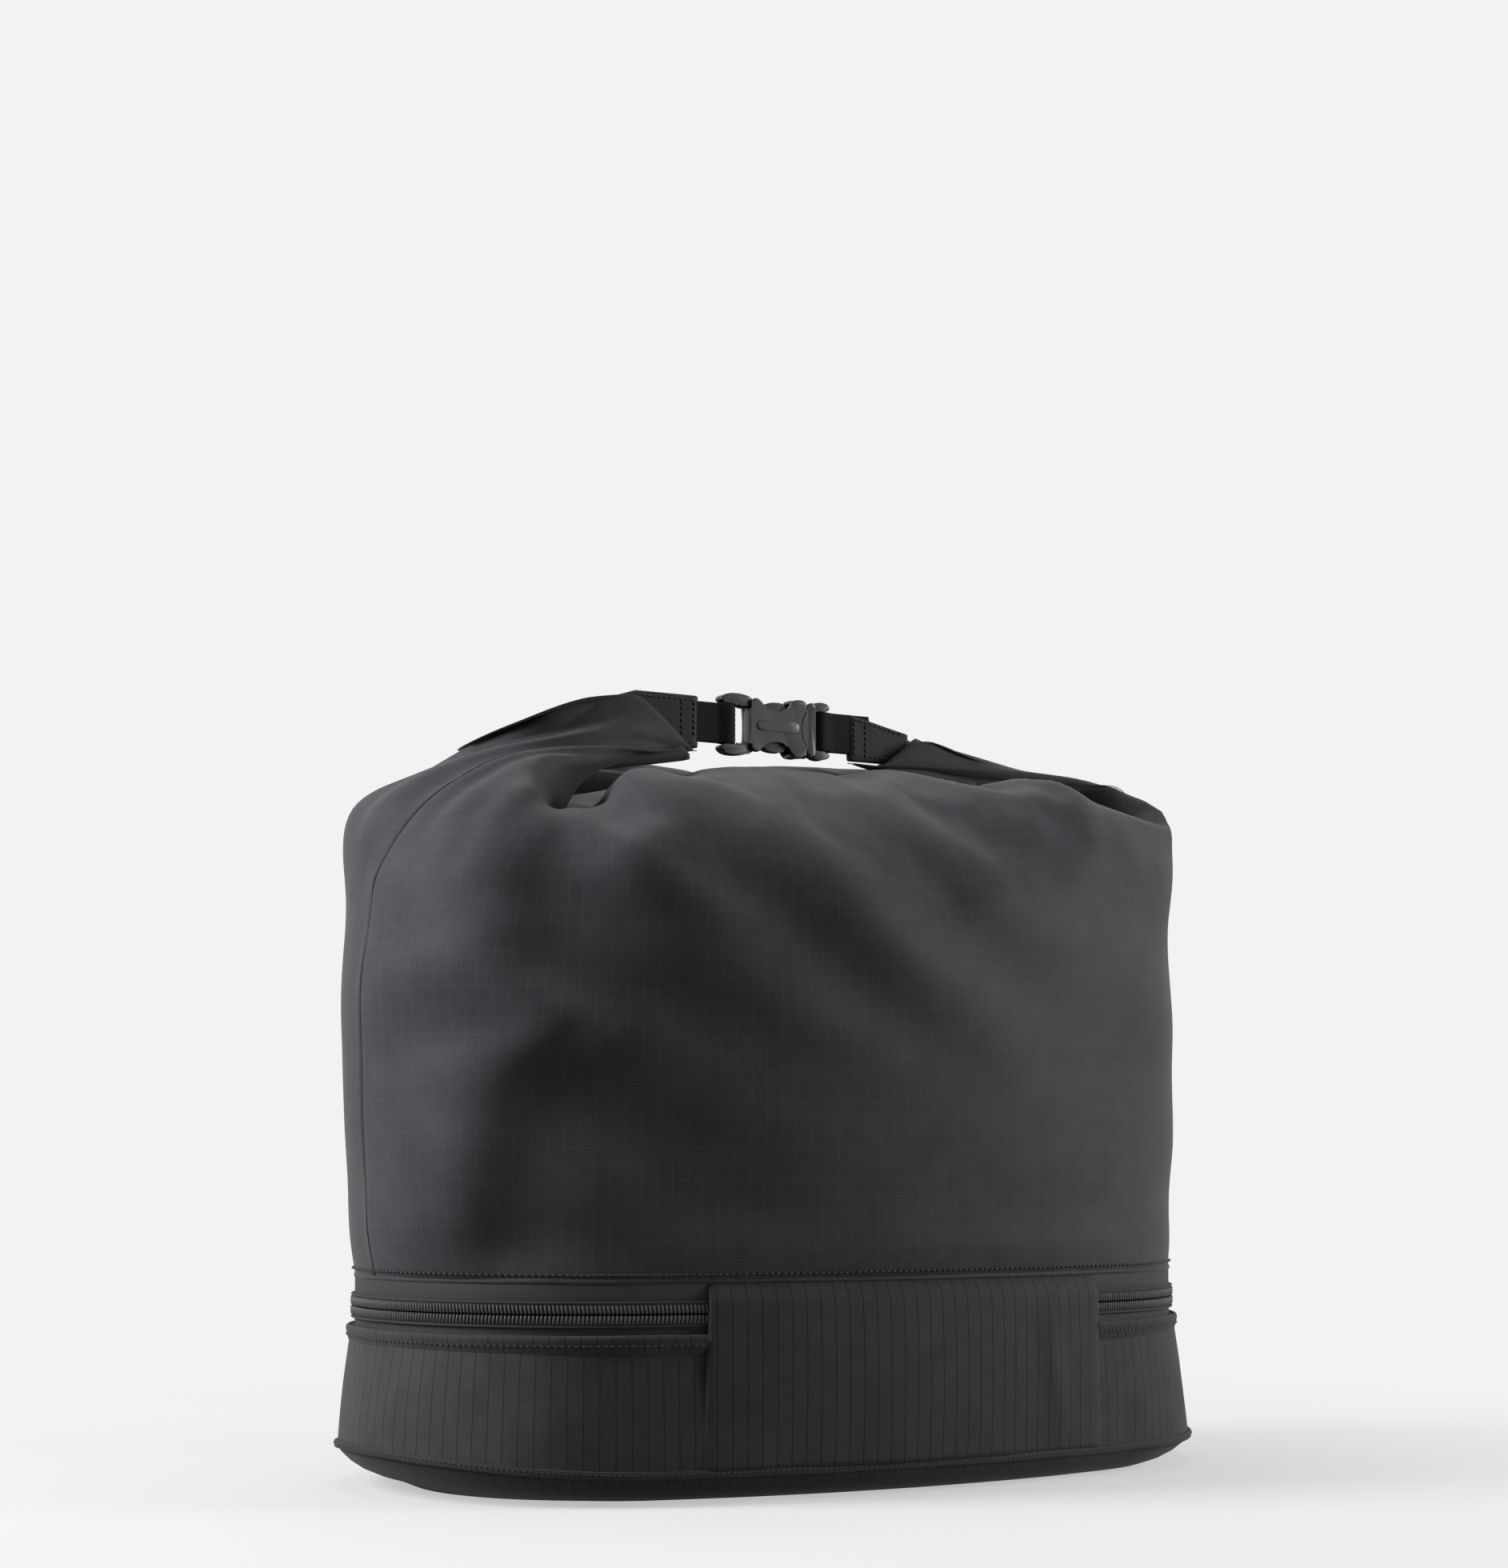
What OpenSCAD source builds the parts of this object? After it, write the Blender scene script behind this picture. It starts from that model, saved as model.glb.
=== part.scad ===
// Rope storage bag: a soft roll-top sack on a zipped base compartment.
// Millimetres, +Z up, origin on the floor under the middle of the bag, front towards -Y.
// The mouth is rolled, bent round into a hoop and held by a side-release buckle at the front.

/* [Plan] */
// Width of the bag over the fabric
bag_w = 436; // [340:1:520]
// Depth of the bag over the fabric
bag_d = 262; // [200:1:330]
// How round the two ends are, as a share of a half circle
end_round = 0.9; // [0.75:0.01:0.95]

/* [Heights] */
// Height of the seam round the bottom panel
seam_z = 14; // [10:0.5:22]
// Top edge of the base wall
base_top_z = 74.5; // [60:0.5:100]
// Height of the zip above the top edge of the base wall
zip_rise = 9.5; // [8:0.5:14]
// Height at which the sack starts to draw in
shoulder_z = 265; // [240:1:285]
// Rise of the front crest over the back run of the hoop, at the middle
crest_rise = 24; // [15:1:30]
// Rise of the front crest over the back run of the hoop, beside the bends
pocket_rise = 8; // [-5:1:12]
// Drop of the front panel's upper edge where it passes under the tabs
edge_drop = 3; // [0:0.5:6]
// Lower edge of the rolled mouth at the back
roll_back_z = 320; // [300:1:360]
// How much higher the rolled mouth stands at the buckle
roll_lift = 32; // [10:1:40]

/* [Fabric] */
// Swell of the sack's front wall at its middle
front_swell = 4.5; // [1:0.5:8]
// Swell of the sack's back wall at its middle
back_swell = 9.5; // [1:0.5:12]
// Thickness of a sewn fabric wall
wall_t = 2; // [1.4:0.1:3]
// Thickness of a folded edge
fold_t = 1.6; // [1:0.1:2.4]
// Height of the folded edge along the top of the base wall
welt_h = 9; // [7:0.5:12]
// Clearance between sewn layers
layer_gap = 0.3; // [0.2:0.05:0.5]
// Width of the plain front panel that hinges the base
panel_w = 216; // [150:1:250]
// How far the base wall runs under the front panel
wall_tuck = 12; // [8:1:20]

/* [Rolled mouth] */
// Straight half length of the hoop
hoop_half = 115; // [90:1:140]
// Bend radius of the hoop
hoop_r = 32; // [24:1:40]
// Position of the front run of the hoop
hoop_front_y = -5; // [-30:1:15]
// Sideways position of the buckle
handle_x = -4.5; // [-12:0.5:12]
// Height of the rolled mouth
roll_h = 27; // [22:0.5:34]
// Thickness of the rolled mouth
roll_t = 10; // [8:0.5:14]
// Thickness of the stiff hem tab
tab_t = 5; // [4.2:0.1:5.4]
// Gap between the two hem tabs
tab_gap = 89; // [84:1:110]

/* [Buckle] */
// Webbing width
web_w = 20; // [15:1:25]
// Webbing thickness, two layers
web_t = 3; // [2:0.1:3.4]
// Body thickness of the buckle
buckle_t = 11; // [9:0.5:13]
// Travel of the plug out of the socket
release = 26; // [26:0.5:28]

/* [Zip] */
// Thickness of a zip tape
tape_t = 1.1; // [0.8:0.1:1.5]
// How far the lower zip tape runs down behind the base wall
tape_lap = 11; // [8:0.5:15]
// Width of one half of the zip chain
chain_half = 3.6; // [3:0.1:4.5]
// Gap between the two halves of the chain
chain_gap = 1.6; // [1.4:0.1:2]
// Length of a zip slider
slider_l = 17; // [14:0.5:20]
// Length of a zip pull
pull_l = 27; // [20:1:32]
// How far each zip end runs under the front panel
zip_tuck = 14; // [10:1:24]

/* [Hidden] */
$fn = 48;

// Oval plan: two end arcs and two long side arcs that meet without a corner
end_r = end_round * bag_d / 2;
end_x = bag_w / 2 - end_r;
end_drop = bag_d / 2 - end_r;
side_c = (end_x * end_x - end_drop * end_drop) / (2 * end_drop);
side_r = bag_d / 2 + side_c;
side_a = atan2(end_x, side_c);
quarter = (end_r * (90 - side_a) + side_r * side_a) * PI / 180;

zip_z = base_top_z + zip_rise;
hem_z = zip_z + zip_rise - 1;
sack_z = hem_z + 5;
tape_g = -wall_t - layer_gap;
hoop_y = hoop_front_y + hoop_r;
hoop_len = hoop_half - tab_gap / 2 + PI * hoop_r + hoop_half;
bend_share = (hoop_half + PI * hoop_r) / hoop_len;
tab_lo = roll_back_z + roll_lift + 3;
tab_h = roll_h - 0.5;
strap_z = tab_lo + tab_h / 2 + 0.5;
slot_t = tab_t + 0.8;
bar_r = 2;
socket_bar = -26.5;
plug_bar = 28;
socket_ear = web_w / 2 + 3;
plug_ear = web_w / 2 + 2.5;
sack_n = 56;
sack_m = 16;
crest_z = roll_back_z + crest_rise;
pocket_z = roll_back_z + pocket_rise;
bend_u = 0.62;

function mix(a, b, t) = a + (b - a) * t;
function unit(v) = v / max(norm(v), 0.000001);
function sgn(a) = a < 0 ? -1 : 1;

// Point of the oval whose outward normal has angle a, grown outwards by g
function oval_pt(a, g) = let (nx = cos(a), ny = sin(a))
    abs(nx) <= sin(side_a)
        ? [nx * (side_r + g), ny * (side_r + g) - sgn(ny) * side_c]
        : [sgn(nx) * end_x + nx * (end_r + g), ny * (end_r + g)];

// Normal angle at a share of the way from the middle of a long side (0) to an end (1)
function oval_angle(u) = let (d = (1 - abs(u)) * quarter * 180 / PI, e = end_r * (90 - side_a))
    d < e ? d / end_r : 90 - side_a + (d - e) / side_r;

oval_steps = concat([for (i = [0:23]) -(90 - side_a) + i * (180 - 2 * side_a) / 24],
    [for (i = [0:15]) 90 - side_a + i * 2 * side_a / 16]);
oval_angles = concat(oval_steps, [for (a = oval_steps) a + 180]);

function oval(g) = [for (a = oval_angles) oval_pt(a, g)];

module ring(g0, g1, z0, z1) {
    translate([0, 0, z0]) linear_extrude(height = z1 - z0) difference() {
        polygon(oval(g1));
        polygon(oval(g0));
    }
}

// Block over the middle of the front, half w wide
module front_block(w) {
    translate([-w, -bag_d, -1]) cube([2 * w, bag_d * 0.8, bag_w]);
}

// Hoop that the rolled mouth follows: u runs from the left tab (-1) round the back to the right tab (1)
function hoop_d(u) = abs(u) * hoop_len;
function hoop_pt(u) = let (d = hoop_d(u), a = (d - hoop_half) / hoop_r * 180 / PI, s = sgn(u))
    d < hoop_half ? [handle_x + s * d, hoop_y + hoop_r]
    : a < 180 ? [handle_x + s * (hoop_half + hoop_r * sin(a)), hoop_y + hoop_r * cos(a)]
    : [handle_x + s * (hoop_half - (d - hoop_half - PI * hoop_r)), hoop_front_y];
function hoop_n(u) = let (d = hoop_d(u), a = min(180, max(0, (d - hoop_half) / hoop_r * 180 / PI)))
    [sgn(u) * sin(a), cos(a)];
function roll_z(u) = roll_back_z + roll_lift * pow(min(1, abs(u)), 1.6);
function past_bend(u) = min(1, max(0, (abs(u) - bend_share) / (1 - bend_share)));

function bezier(a, b, c, d, t) =
    a * pow(1 - t, 3) + b * 3 * t * pow(1 - t, 2) + c * 3 * t * t * (1 - t) + d * pow(t, 3);
function lift(p, z) = [p[0], p[1], z];

function ease(t) = let (c = min(1, max(0, t))) c * c * (3 - 2 * c);

// Value that goes from a at the middle over b at the bend of the hoop to c at the end seam
function along(u, a, b, c) = let (d = abs(u))
    d < bend_u ? mix(a, b, ease(d / bend_u)) : mix(b, c, ease((d - bend_u) / (1 - bend_u)));

// Rounded rise from 0 to 1; a larger power gives a squarer shoulder
function rounded(x, power) = pow(1 - pow(1 - min(1, max(0, x)), power), 1 / power);

// Swell of the standing walls, over a height that ends reach above the shoulder
function swell(u, z, most, reach) =
    most * (1 - u * u) * sin(180 * (z - sack_z) / (shoulder_z + reach - sack_z)) - 2.5;
function front_wall(u, z) = let (a = oval_angle(u)) oval_pt(u < 0 ? 180 + a : -a, swell(u, z, front_swell, 20));
function back_wall(u, z) = let (a = oval_angle(u)) oval_pt(u < 0 ? 180 - a : a, swell(u, z, back_swell, 90));

// Share of the rows that the standing wall takes
wall_rows = 5 / sack_m;

// Outside of the back panel: a low shoulder at the back, and at both ends it passes round the bend of the hoop
function back_pt(u, v) = v <= wall_rows
    ? let (z = mix(sack_z, shoulder_z, v / wall_rows)) lift(back_wall(u, z), z)
    : let (t = (v - wall_rows) / (1 - wall_rows), w = past_bend(u), n = hoop_n(u),
        foot = back_wall(u, shoulder_z),
        top_z = roll_z(u) + mix(6, 3, w),
        top = hoop_pt(u) + n * (roll_t / 2 + along(u, 1.3, 2.4, 3)),
        out = top + n * mix(along(u, 44, 34, 34), 14, w) + [sgn(u) * 85 * w, 0])
        bezier(lift(foot, shoulder_z), lift(foot * 0.985, shoulder_z + along(u, 27, 76, 101)),
            lift(out, top_z + along(u, 26, -30, 3)), lift(top, top_z), t);

// Outside of the front panel: it rises to a crest, dips under the hoop and meets the inside of the back run
function front_pt(u, v) = v <= wall_rows
    ? let (z = mix(sack_z, shoulder_z, v / wall_rows)) lift(front_wall(u, z), z)
    : let (p = pow((v - wall_rows) / (1 - wall_rows), 1.5), n = hoop_n(u),
        top = hoop_pt(u) - n * (roll_t / 2 + 0.7),
        top_z = roll_z(u) - mix(2, 8, min(1, 2 * abs(u))) - edge_drop * past_bend(u),
        crest = along(u, crest_z, pocket_z, crest_z - 13),
        crest_p = along(u, 0.47, 0.26, 0.26),
        q = max(0, (p - crest_p) / (1 - crest_p)),
        rise = mix(shoulder_z, crest, rounded(p / crest_p, along(u, 1.5, 3, 1.6))),
        fall = mix(crest, top_z, pow(q, 3)) - along(u, 4, 17, 12) * sin(180 * q))
        lift(mix(front_wall(u, shoulder_z), top, p), p < crest_p ? rise : fall);

// Closed shell between an outside grid and the same grid moved inwards
module shell(outside, inside, flip) {
    nu = len(outside) - 1;
    nv = len(outside[0]) - 1;
    count = (nu + 1) * (nv + 1);
    points = concat([for (row = outside) each row], [for (row = inside) each row]);
    function at(i, j) = i * (nv + 1) + j;
    cells = [for (i = [0:nu - 1]) for (j = [0:nv - 1]) [at(i, j), at(i + 1, j), at(i + 1, j + 1), at(i, j + 1)]];
    rim = concat([for (i = [0:nu]) at(i, 0)], [for (j = [1:nv]) at(nu, j)],
        [for (i = [nu - 1:-1:0]) at(i, nv)], [for (j = [nv - 1:-1:1]) at(0, j)]);
    top = [for (c = cells) each [[c[0], c[1], c[2]], [c[0], c[2], c[3]]]];
    under = [for (c = cells) each [[c[2] + count, c[1] + count, c[0] + count],
        [c[3] + count, c[2] + count, c[0] + count]]];
    sides = [for (k = [0:len(rim) - 1]) let (p = rim[k], q = rim[(k + 1) % len(rim)])
        each [[q, p, p + count], [q, p + count, q + count]]];
    all = concat(top, under, sides);
    polyhedron(points, flip ? [for (f = all) [f[2], f[1], f[0]]] : all);
}

function span(i) = 0.998 * (2 * i / sack_n - 1);

module bottom_panel() {
    rows = [[-30, 0], [-17, 1.1], [-8, 3.8], [-2.5, 7.6], [0, seam_z - 2.6]];
    n = len(oval_angles);
    m = len(rows);
    outer = [for (r = rows) each [for (p = oval(r[0])) lift(p, r[1])]];
    inner = [for (r = rows) each [for (p = oval(r[0] - (r[1] > 5 ? wall_t : 0.6)))
        lift(p, r[1] + (r[1] > 5 ? 0 : wall_t))]];
    count = n * m;
    walls = [for (k = [0:m - 2]) for (i = [0:n - 1]) let (j = (i + 1) % n, a = k * n + i, b = k * n + j)
        each [[a, a + n, b], [b, a + n, b + n], [a + count, b + count, a + n + count],
            [b + count, b + n + count, a + n + count]]];
    rim = [for (i = [0:n - 1]) let (j = (i + 1) % n, a = count - n + i, b = count - n + j)
        each [[a, a + count, b], [b, a + count, b + count]]];
    color("#2b2b2d") polyhedron(concat(outer, inner),
        concat([[for (i = [0:n - 1]) i]], [[for (i = [n - 1:-1:0]) i + count]], walls, rim));
}

module base_band() {
    color("#2f2d2e") difference() {
        ring(-wall_t, 0, seam_z - 2.3, base_top_z);
        front_block(panel_w / 2 - wall_tuck);
    }
}

module hinge_panel() {
    color("#343233") intersection() {
        ring(layer_gap, layer_gap + fold_t, seam_z + 2.8, hem_z + 4);
        front_block(panel_w / 2);
    }
}

module base_welt() {
    color("#2a2829") difference() {
        ring(layer_gap, layer_gap + fold_t, base_top_z - welt_h, base_top_z + 0.8);
        front_block(panel_w / 2 + 0.5);
    }
}

module seam_binding() {
    color("#232224") ring(layer_gap, layer_gap + fold_t, seam_z - 2.5, seam_z + 2.5);
}

module zip_lower_tape() {
    color("#1c1c1e") difference() {
        ring(tape_g - tape_t, tape_g, base_top_z - tape_lap, zip_z - chain_gap / 2);
        front_block(panel_w / 2 - zip_tuck);
    }
}

module zip_lower_chain() {
    color("#141416") difference() {
        ring(tape_g + 0.1, 0, zip_z - chain_gap / 2 - chain_half, zip_z - chain_gap / 2);
        front_block(panel_w / 2 - zip_tuck);
    }
}

module sack_front_panel() {
    outside = [for (i = [0:sack_n]) [for (j = [0:sack_m]) front_pt(span(i), j / sack_m)]];
    inside = [for (i = [0:sack_n]) [for (j = [0:sack_m]) let (u = span(i), v = j / sack_m,
        u0 = max(-0.998, u - 0.01), u1 = min(0.998, u + 0.01), v0 = max(0, v - 0.02), v1 = min(1, v + 0.02),
        n = unit(cross(front_pt(u1, v) - front_pt(u0, v), front_pt(u, v1) - front_pt(u, v0))))
        front_pt(u, v) - wall_t * n]];
    color("#4a4b4d") shell(outside, inside, true);
}

module sack_back_panel() {
    outside = [for (i = [0:sack_n]) [for (j = [0:sack_m]) back_pt(span(i), j / sack_m)]];
    inside = [for (i = [0:sack_n]) [for (j = [0:sack_m]) let (u = span(i), v = j / sack_m,
        u0 = max(-0.998, u - 0.01), u1 = min(0.998, u + 0.01), v0 = max(0, v - 0.02), v1 = min(1, v + 0.02),
        n = unit(cross(back_pt(u1, v) - back_pt(u0, v), back_pt(u, v1) - back_pt(u, v0))))
        back_pt(u, v) + wall_t * n]];
    color("#444547") shell(outside, inside, false);
}

module sack_floor() {
    color("#3a3a3c") translate([0, 0, sack_z]) linear_extrude(height = 1.6)
        polygon(oval(-2.5 - wall_t - layer_gap));
}

module sack_hem() {
    color("#3c3d3f") {
        difference() {
            ring(-2.2, 2 * layer_gap + 2 * fold_t, hem_z, sack_z - layer_gap);
            ring(-3, 2 * layer_gap + fold_t, hem_z - 1, hem_z + 4.4);
        }
    }
}

module zip_upper_tape() {
    color("#1c1c1e") difference() {
        ring(tape_g - tape_t, tape_g, zip_z + chain_gap / 2, sack_z - layer_gap);
        front_block(panel_w / 2 - zip_tuck);
    }
}

module zip_upper_chain() {
    color("#141416") difference() {
        ring(tape_g + 0.1, 0, zip_z + chain_gap / 2, zip_z + chain_gap / 2 + chain_half);
        front_block(panel_w / 2 - zip_tuck);
    }
}

// Folded fabric trough swept round the hoop, its two ends cut on the slant
module mouth_roll() {
    steps = 76;
    o = roll_t / 2;
    i = slot_t / 2;
    section = [[-o, 0], [o, 0], [o, 1], [i, 1], [i, 0.09], [-i, 0.09], [-i, 1], [-o, 1]];
    function u_at(s, v) = let (end_l = -(1 - mix(11, 54, v) / hoop_len), end_r = 1 - mix(16, 44, v) / hoop_len)
        mix(end_l, end_r, s);
    points = [for (k = [0:steps]) each [for (p = section) let (u = u_at(k / steps, p[1]), q = hoop_pt(u) + hoop_n(u) * p[0])
        lift(q, roll_z(u) + p[1] * roll_h)]];
    n = len(section);
    skin = [for (k = [0:steps - 1]) for (j = [0:n - 1]) let (j2 = (j + 1) % n, a = k * n + j, b = k * n + j2)
        each [[a, b, b + n], [a, b + n, a + n]]];
    first = [for (f = [[0, 4, 1], [0, 5, 4], [1, 3, 2], [1, 4, 3], [0, 6, 5], [0, 7, 6]]) f];
    last = [for (f = first) [f[2] + steps * n, f[1] + steps * n, f[0] + steps * n]];
    color("#424345") polyhedron(points, concat(skin, first, last));
}

// Stiff stitched end of the hem, with a pocket for its webbing; x is its inner end, s its side
module hem_tab(s, l) {
    x = handle_x + s * tab_gap / 2;
    difference() {
        translate([s > 0 ? x : x - l, hoop_front_y - tab_t / 2, tab_lo]) cube([l, tab_t, tab_h]);
        translate([x - 14, hoop_front_y - web_t / 2 - 0.15, strap_z - web_w / 2 - 0.2])
            cube([28, web_t + 0.3, web_w + 0.4]);
    }
}

module hem_tab_left() {
    color("#3e3f41") hem_tab(-1, hoop_half - tab_gap / 2 - 12);
}

module hem_tab_right() {
    color("#3e3f41") hem_tab(1, release + 10);
}

// Webbing folded round the bar of a buckle half at bar_x and sewn into its tab
module webbing(s, bar_x) {
    end = s * (tab_gap / 2 + 13);
    translate([handle_x, hoop_front_y, strap_z - web_w / 2]) linear_extrude(height = web_w) difference() {
        union() {
            translate([bar_x, 0]) circle(r = bar_r + 0.3 + web_t / 2);
            translate([min(bar_x, end), -web_t / 2]) square([abs(end - bar_x), web_t]);
        }
        translate([bar_x, 0]) circle(r = bar_r + 0.3);
    }
}

module webbing_left() {
    color("#2a2a2c") webbing(-1, socket_bar);
}

module webbing_right() {
    color("#2c2c2e") webbing(1, plug_bar);
}

module buckle_at() {
    translate([handle_x, hoop_front_y, strap_z]) children();
}

module box(x0, x1, y, z0, z1) {
    translate([x0, -y, z0]) cube([x1 - x0, 2 * y, z1 - z0]);
}

module buckle_socket() {
    t = buckle_t / 2;
    color("#19191b") buckle_at() {
        difference() {
            union() {
                box(-15, 17, t, -11, 11);
                box(-15, -11, t, -socket_ear - 0.5, socket_ear + 0.5);
                box(8, 17, t, -14.5, 14.5);
            }
            box(-11.5, 18, t - 2.1, -12.9, 12.9);
        }
        for (s = [-1, 1]) translate([0, 0, s * socket_ear]) box(-32, -14, t - 2, -2.4, 2.4);
        translate([socket_bar, 0, -socket_ear]) cylinder(r = bar_r, h = 2 * socket_ear);
    }
}

module buckle_plug() {
    t = buckle_t / 2;
    color("#1b1b1d") buckle_at() {
        box(17.4, 22, t, -plug_ear - 1, plug_ear + 1);
        box(-7, 18, 1.5, -2, 2);
        for (s = [-1, 1]) translate([0, 0, s * plug_ear]) box(21, 32, t - 2, -2.2, 2.2);
        translate([plug_bar, 0, 0.5 - plug_ear]) cylinder(r = bar_r, h = 2 * plug_ear - 1);
    }
}

// Sprung arm of the plug with its press pad, for one side
module prong(s) {
    color("#1b1b1d") buckle_at() mirror([0, 0, s < 0 ? 1 : 0]) {
        box(-7, 17, 2.9, 6.5, 9.2);
        box(-8, 6, 2.9, 7.5, 12.5);
    }
}

module prong_upper() {
    prong(1);
}

module prong_lower() {
    prong(-1);
}

// Places its children on the back zip at x along it, y outwards from the wall and z over the zip's middle
module about_arc(x) {
    translate([0, -side_c, 0]) rotate([0, 0, -x / side_r * 180 / PI]) translate([0, side_c, 0])
        translate([0, bag_d / 2, zip_z]) children();
}

module zip_slider(s) {
    x = s * (slider_l / 2 + 1.5);
    color("#222224") about_arc(x) {
        translate([-slider_l / 2, 0.5, -6]) cube([slider_l, 1.5, 12]);
        translate([-slider_l / 2, tape_g - tape_t - 2.2, -6]) cube([slider_l, 1.5, 12]);
        translate([-3, tape_g - tape_t - 1, -0.35]) cube([6, 5, 0.7]);
        difference() {
            translate([-4.2, 1.9, -1.5]) cube([8.4, 4, 3]);
            translate([-2.6, 1, -2]) cube([5.2, 3.7, 4]);
        }
    }
}

module zip_pull(s) {
    x = s * (slider_l / 2 + 1.5);
    color("#2a2a2c") about_arc(x) translate([0, 3.4, 0]) mirror([s < 0 ? 1 : 0, 0, 0]) {
        translate([0, 0, -4]) cylinder(r = 0.9, h = 8);
        difference() {
            translate([-0.9, -0.7, -4]) cube([pull_l, 1.4, 8]);
            translate([-2, -2, -2.4]) cube([11, 4, 4.8]);
        }
    }
}

module zip_slider_left() {
    zip_slider(-1);
}

module zip_slider_right() {
    zip_slider(1);
}

module zip_pull_left() {
    zip_pull(-1);
}

module zip_pull_right() {
    zip_pull(1);
}

bottom_panel();
base_band();
hinge_panel();
base_welt();
seam_binding();
zip_lower_tape();
zip_lower_chain();
sack_front_panel();
sack_back_panel();
sack_floor();
sack_hem();
zip_upper_tape();
zip_upper_chain();
mouth_roll();
hem_tab_left();
webbing_left();
buckle_socket();
hem_tab_right();
webbing_right();
buckle_plug();
prong_upper();
prong_lower();
zip_slider_left();
zip_slider_right();
zip_pull_left();
zip_pull_right();
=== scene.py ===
"""Rope storage bag: a roll-top sack of thin ripstop cloth on a zipped base compartment."""

import math

import bmesh
import bpy
from mathutils import Matrix, Vector, noise


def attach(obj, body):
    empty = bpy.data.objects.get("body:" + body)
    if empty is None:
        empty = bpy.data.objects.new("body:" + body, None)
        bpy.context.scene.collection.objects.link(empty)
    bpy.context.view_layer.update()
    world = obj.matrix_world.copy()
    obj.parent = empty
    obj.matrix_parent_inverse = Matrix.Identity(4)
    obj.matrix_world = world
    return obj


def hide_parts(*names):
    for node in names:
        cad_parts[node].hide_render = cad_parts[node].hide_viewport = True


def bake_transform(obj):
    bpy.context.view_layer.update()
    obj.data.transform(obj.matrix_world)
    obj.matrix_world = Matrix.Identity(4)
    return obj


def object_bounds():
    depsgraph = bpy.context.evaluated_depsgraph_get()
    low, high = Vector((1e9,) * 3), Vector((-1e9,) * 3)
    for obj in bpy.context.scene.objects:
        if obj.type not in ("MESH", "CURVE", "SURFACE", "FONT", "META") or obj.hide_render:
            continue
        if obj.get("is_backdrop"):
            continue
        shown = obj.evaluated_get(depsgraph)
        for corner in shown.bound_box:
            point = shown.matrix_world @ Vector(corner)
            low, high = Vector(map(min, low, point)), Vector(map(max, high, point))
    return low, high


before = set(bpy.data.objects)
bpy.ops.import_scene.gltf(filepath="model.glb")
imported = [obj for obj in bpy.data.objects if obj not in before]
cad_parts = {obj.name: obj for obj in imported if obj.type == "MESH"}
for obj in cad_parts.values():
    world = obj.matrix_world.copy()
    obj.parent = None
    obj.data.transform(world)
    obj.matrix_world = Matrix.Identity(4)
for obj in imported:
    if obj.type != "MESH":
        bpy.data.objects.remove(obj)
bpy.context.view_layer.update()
scene = bpy.context.scene


# Bottom panel
# A shallow bowl of heavy polyester twill that the bag stands on, cut as an oval and sewn to the base wall all
# round. The oval, of two end arcs and two long side arcs, is the plan of the whole bag. Sizes are in mm.
END_RADIUS = 117.9
END_CENTRE = 100.1
SIDE_CENTRE = 375.95
SIDE_RADIUS = 506.95
SIDE_ANGLE = math.atan2(END_CENTRE, SIDE_CENTRE)
END_ARC = END_RADIUS * (math.pi / 2 - SIDE_ANGLE)
QUARTER = END_ARC + SIDE_RADIUS * SIDE_ANGLE
PERIMETER = 4 * QUARTER
AROUND = 480
SEAM_HEIGHT = 14.0
SEAM_OUT = 0.4
END_LEAN = 7.6
RIGHT_LEAN = 2.0
LEFT_LIFT = 7
BOTTOM_ROWS = [(-30, 0.0), (-22, 0.5), (-15, 1.4), (-8, 3.9), (-3.5, 7.0), (-0.5, 10.6), (0.6, 13.2)]
BOTTOM_CLOTH = 1.2
TWILL_GRID = 7.1
TWILL_LINE = 0.55


def plan(s, grow=0.0):
    """Point and outward normal at s mm along the oval, from the left end over the front to the right."""
    s = s % PERIMETER
    quadrant = int(s // QUARTER)
    d = (s, 2 * QUARTER - s, s - 2 * QUARTER, PERIMETER - s)[quadrant]
    if d < END_ARC:
        a = d / END_RADIUS
        x = END_CENTRE + (END_RADIUS + grow) * math.cos(a)
        y = (END_RADIUS + grow) * math.sin(a)
    else:
        a = math.pi / 2 - SIDE_ANGLE + (d - END_ARC) / SIDE_RADIUS
        x = (SIDE_RADIUS + grow) * math.cos(a)
        y = (SIDE_RADIUS + grow) * math.sin(a) - SIDE_CENTRE
    sx = -1 if quadrant in (0, 3) else 1
    sy = -1 if quadrant in (0, 1) else 1
    return (sx * x, sy * y), (sx * math.cos(a), sy * math.sin(a))


def lean_out(s):
    """How far the bottom seam lies outside the oval: the base leans out at its ends, most at the right."""
    across = plan(s)[1][0]
    return SEAM_OUT + END_LEAN * abs(across) ** 1.5 + RIGHT_LEAN * across * abs(across)


def end_lift(s):
    """How far the bottom seam is drawn up at the left end."""
    return LEFT_LIFT * max(0.0, -plan(s)[1][0]) ** 3


def ripple(x, y, z, size, seed):
    """Smooth noise between -1 and 1 at a point in mm, with waves of that size."""
    return noise.noise(Vector((x / size + seed, y / size, z / size)))


def colour(code, shade=1.0):
    """Linear colour of an sRGB hex code, made darker or lighter by a shade."""
    parts = [int(code[i:i + 2], 16) / 255 for i in (1, 3, 5)]
    return [shade * (c / 12.92 if c <= 0.04045 else ((c + 0.055) / 1.055) ** 2.4) for c in parts] + [1]


def add_node(tree, kind, inputs, **settings):
    """Adds a node with its settings; each input gets a value, or a link where it is another node's socket."""
    node = tree.nodes.new(kind)
    for name, value in settings.items():
        setattr(node, name, value)
    for name, value in inputs.items():
        if isinstance(value, bpy.types.NodeSocket):
            tree.links.new(value, node.inputs[name])
        else:
            node.inputs[name].default_value = value
    return node


MATH = "ShaderNodeMath"


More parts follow.
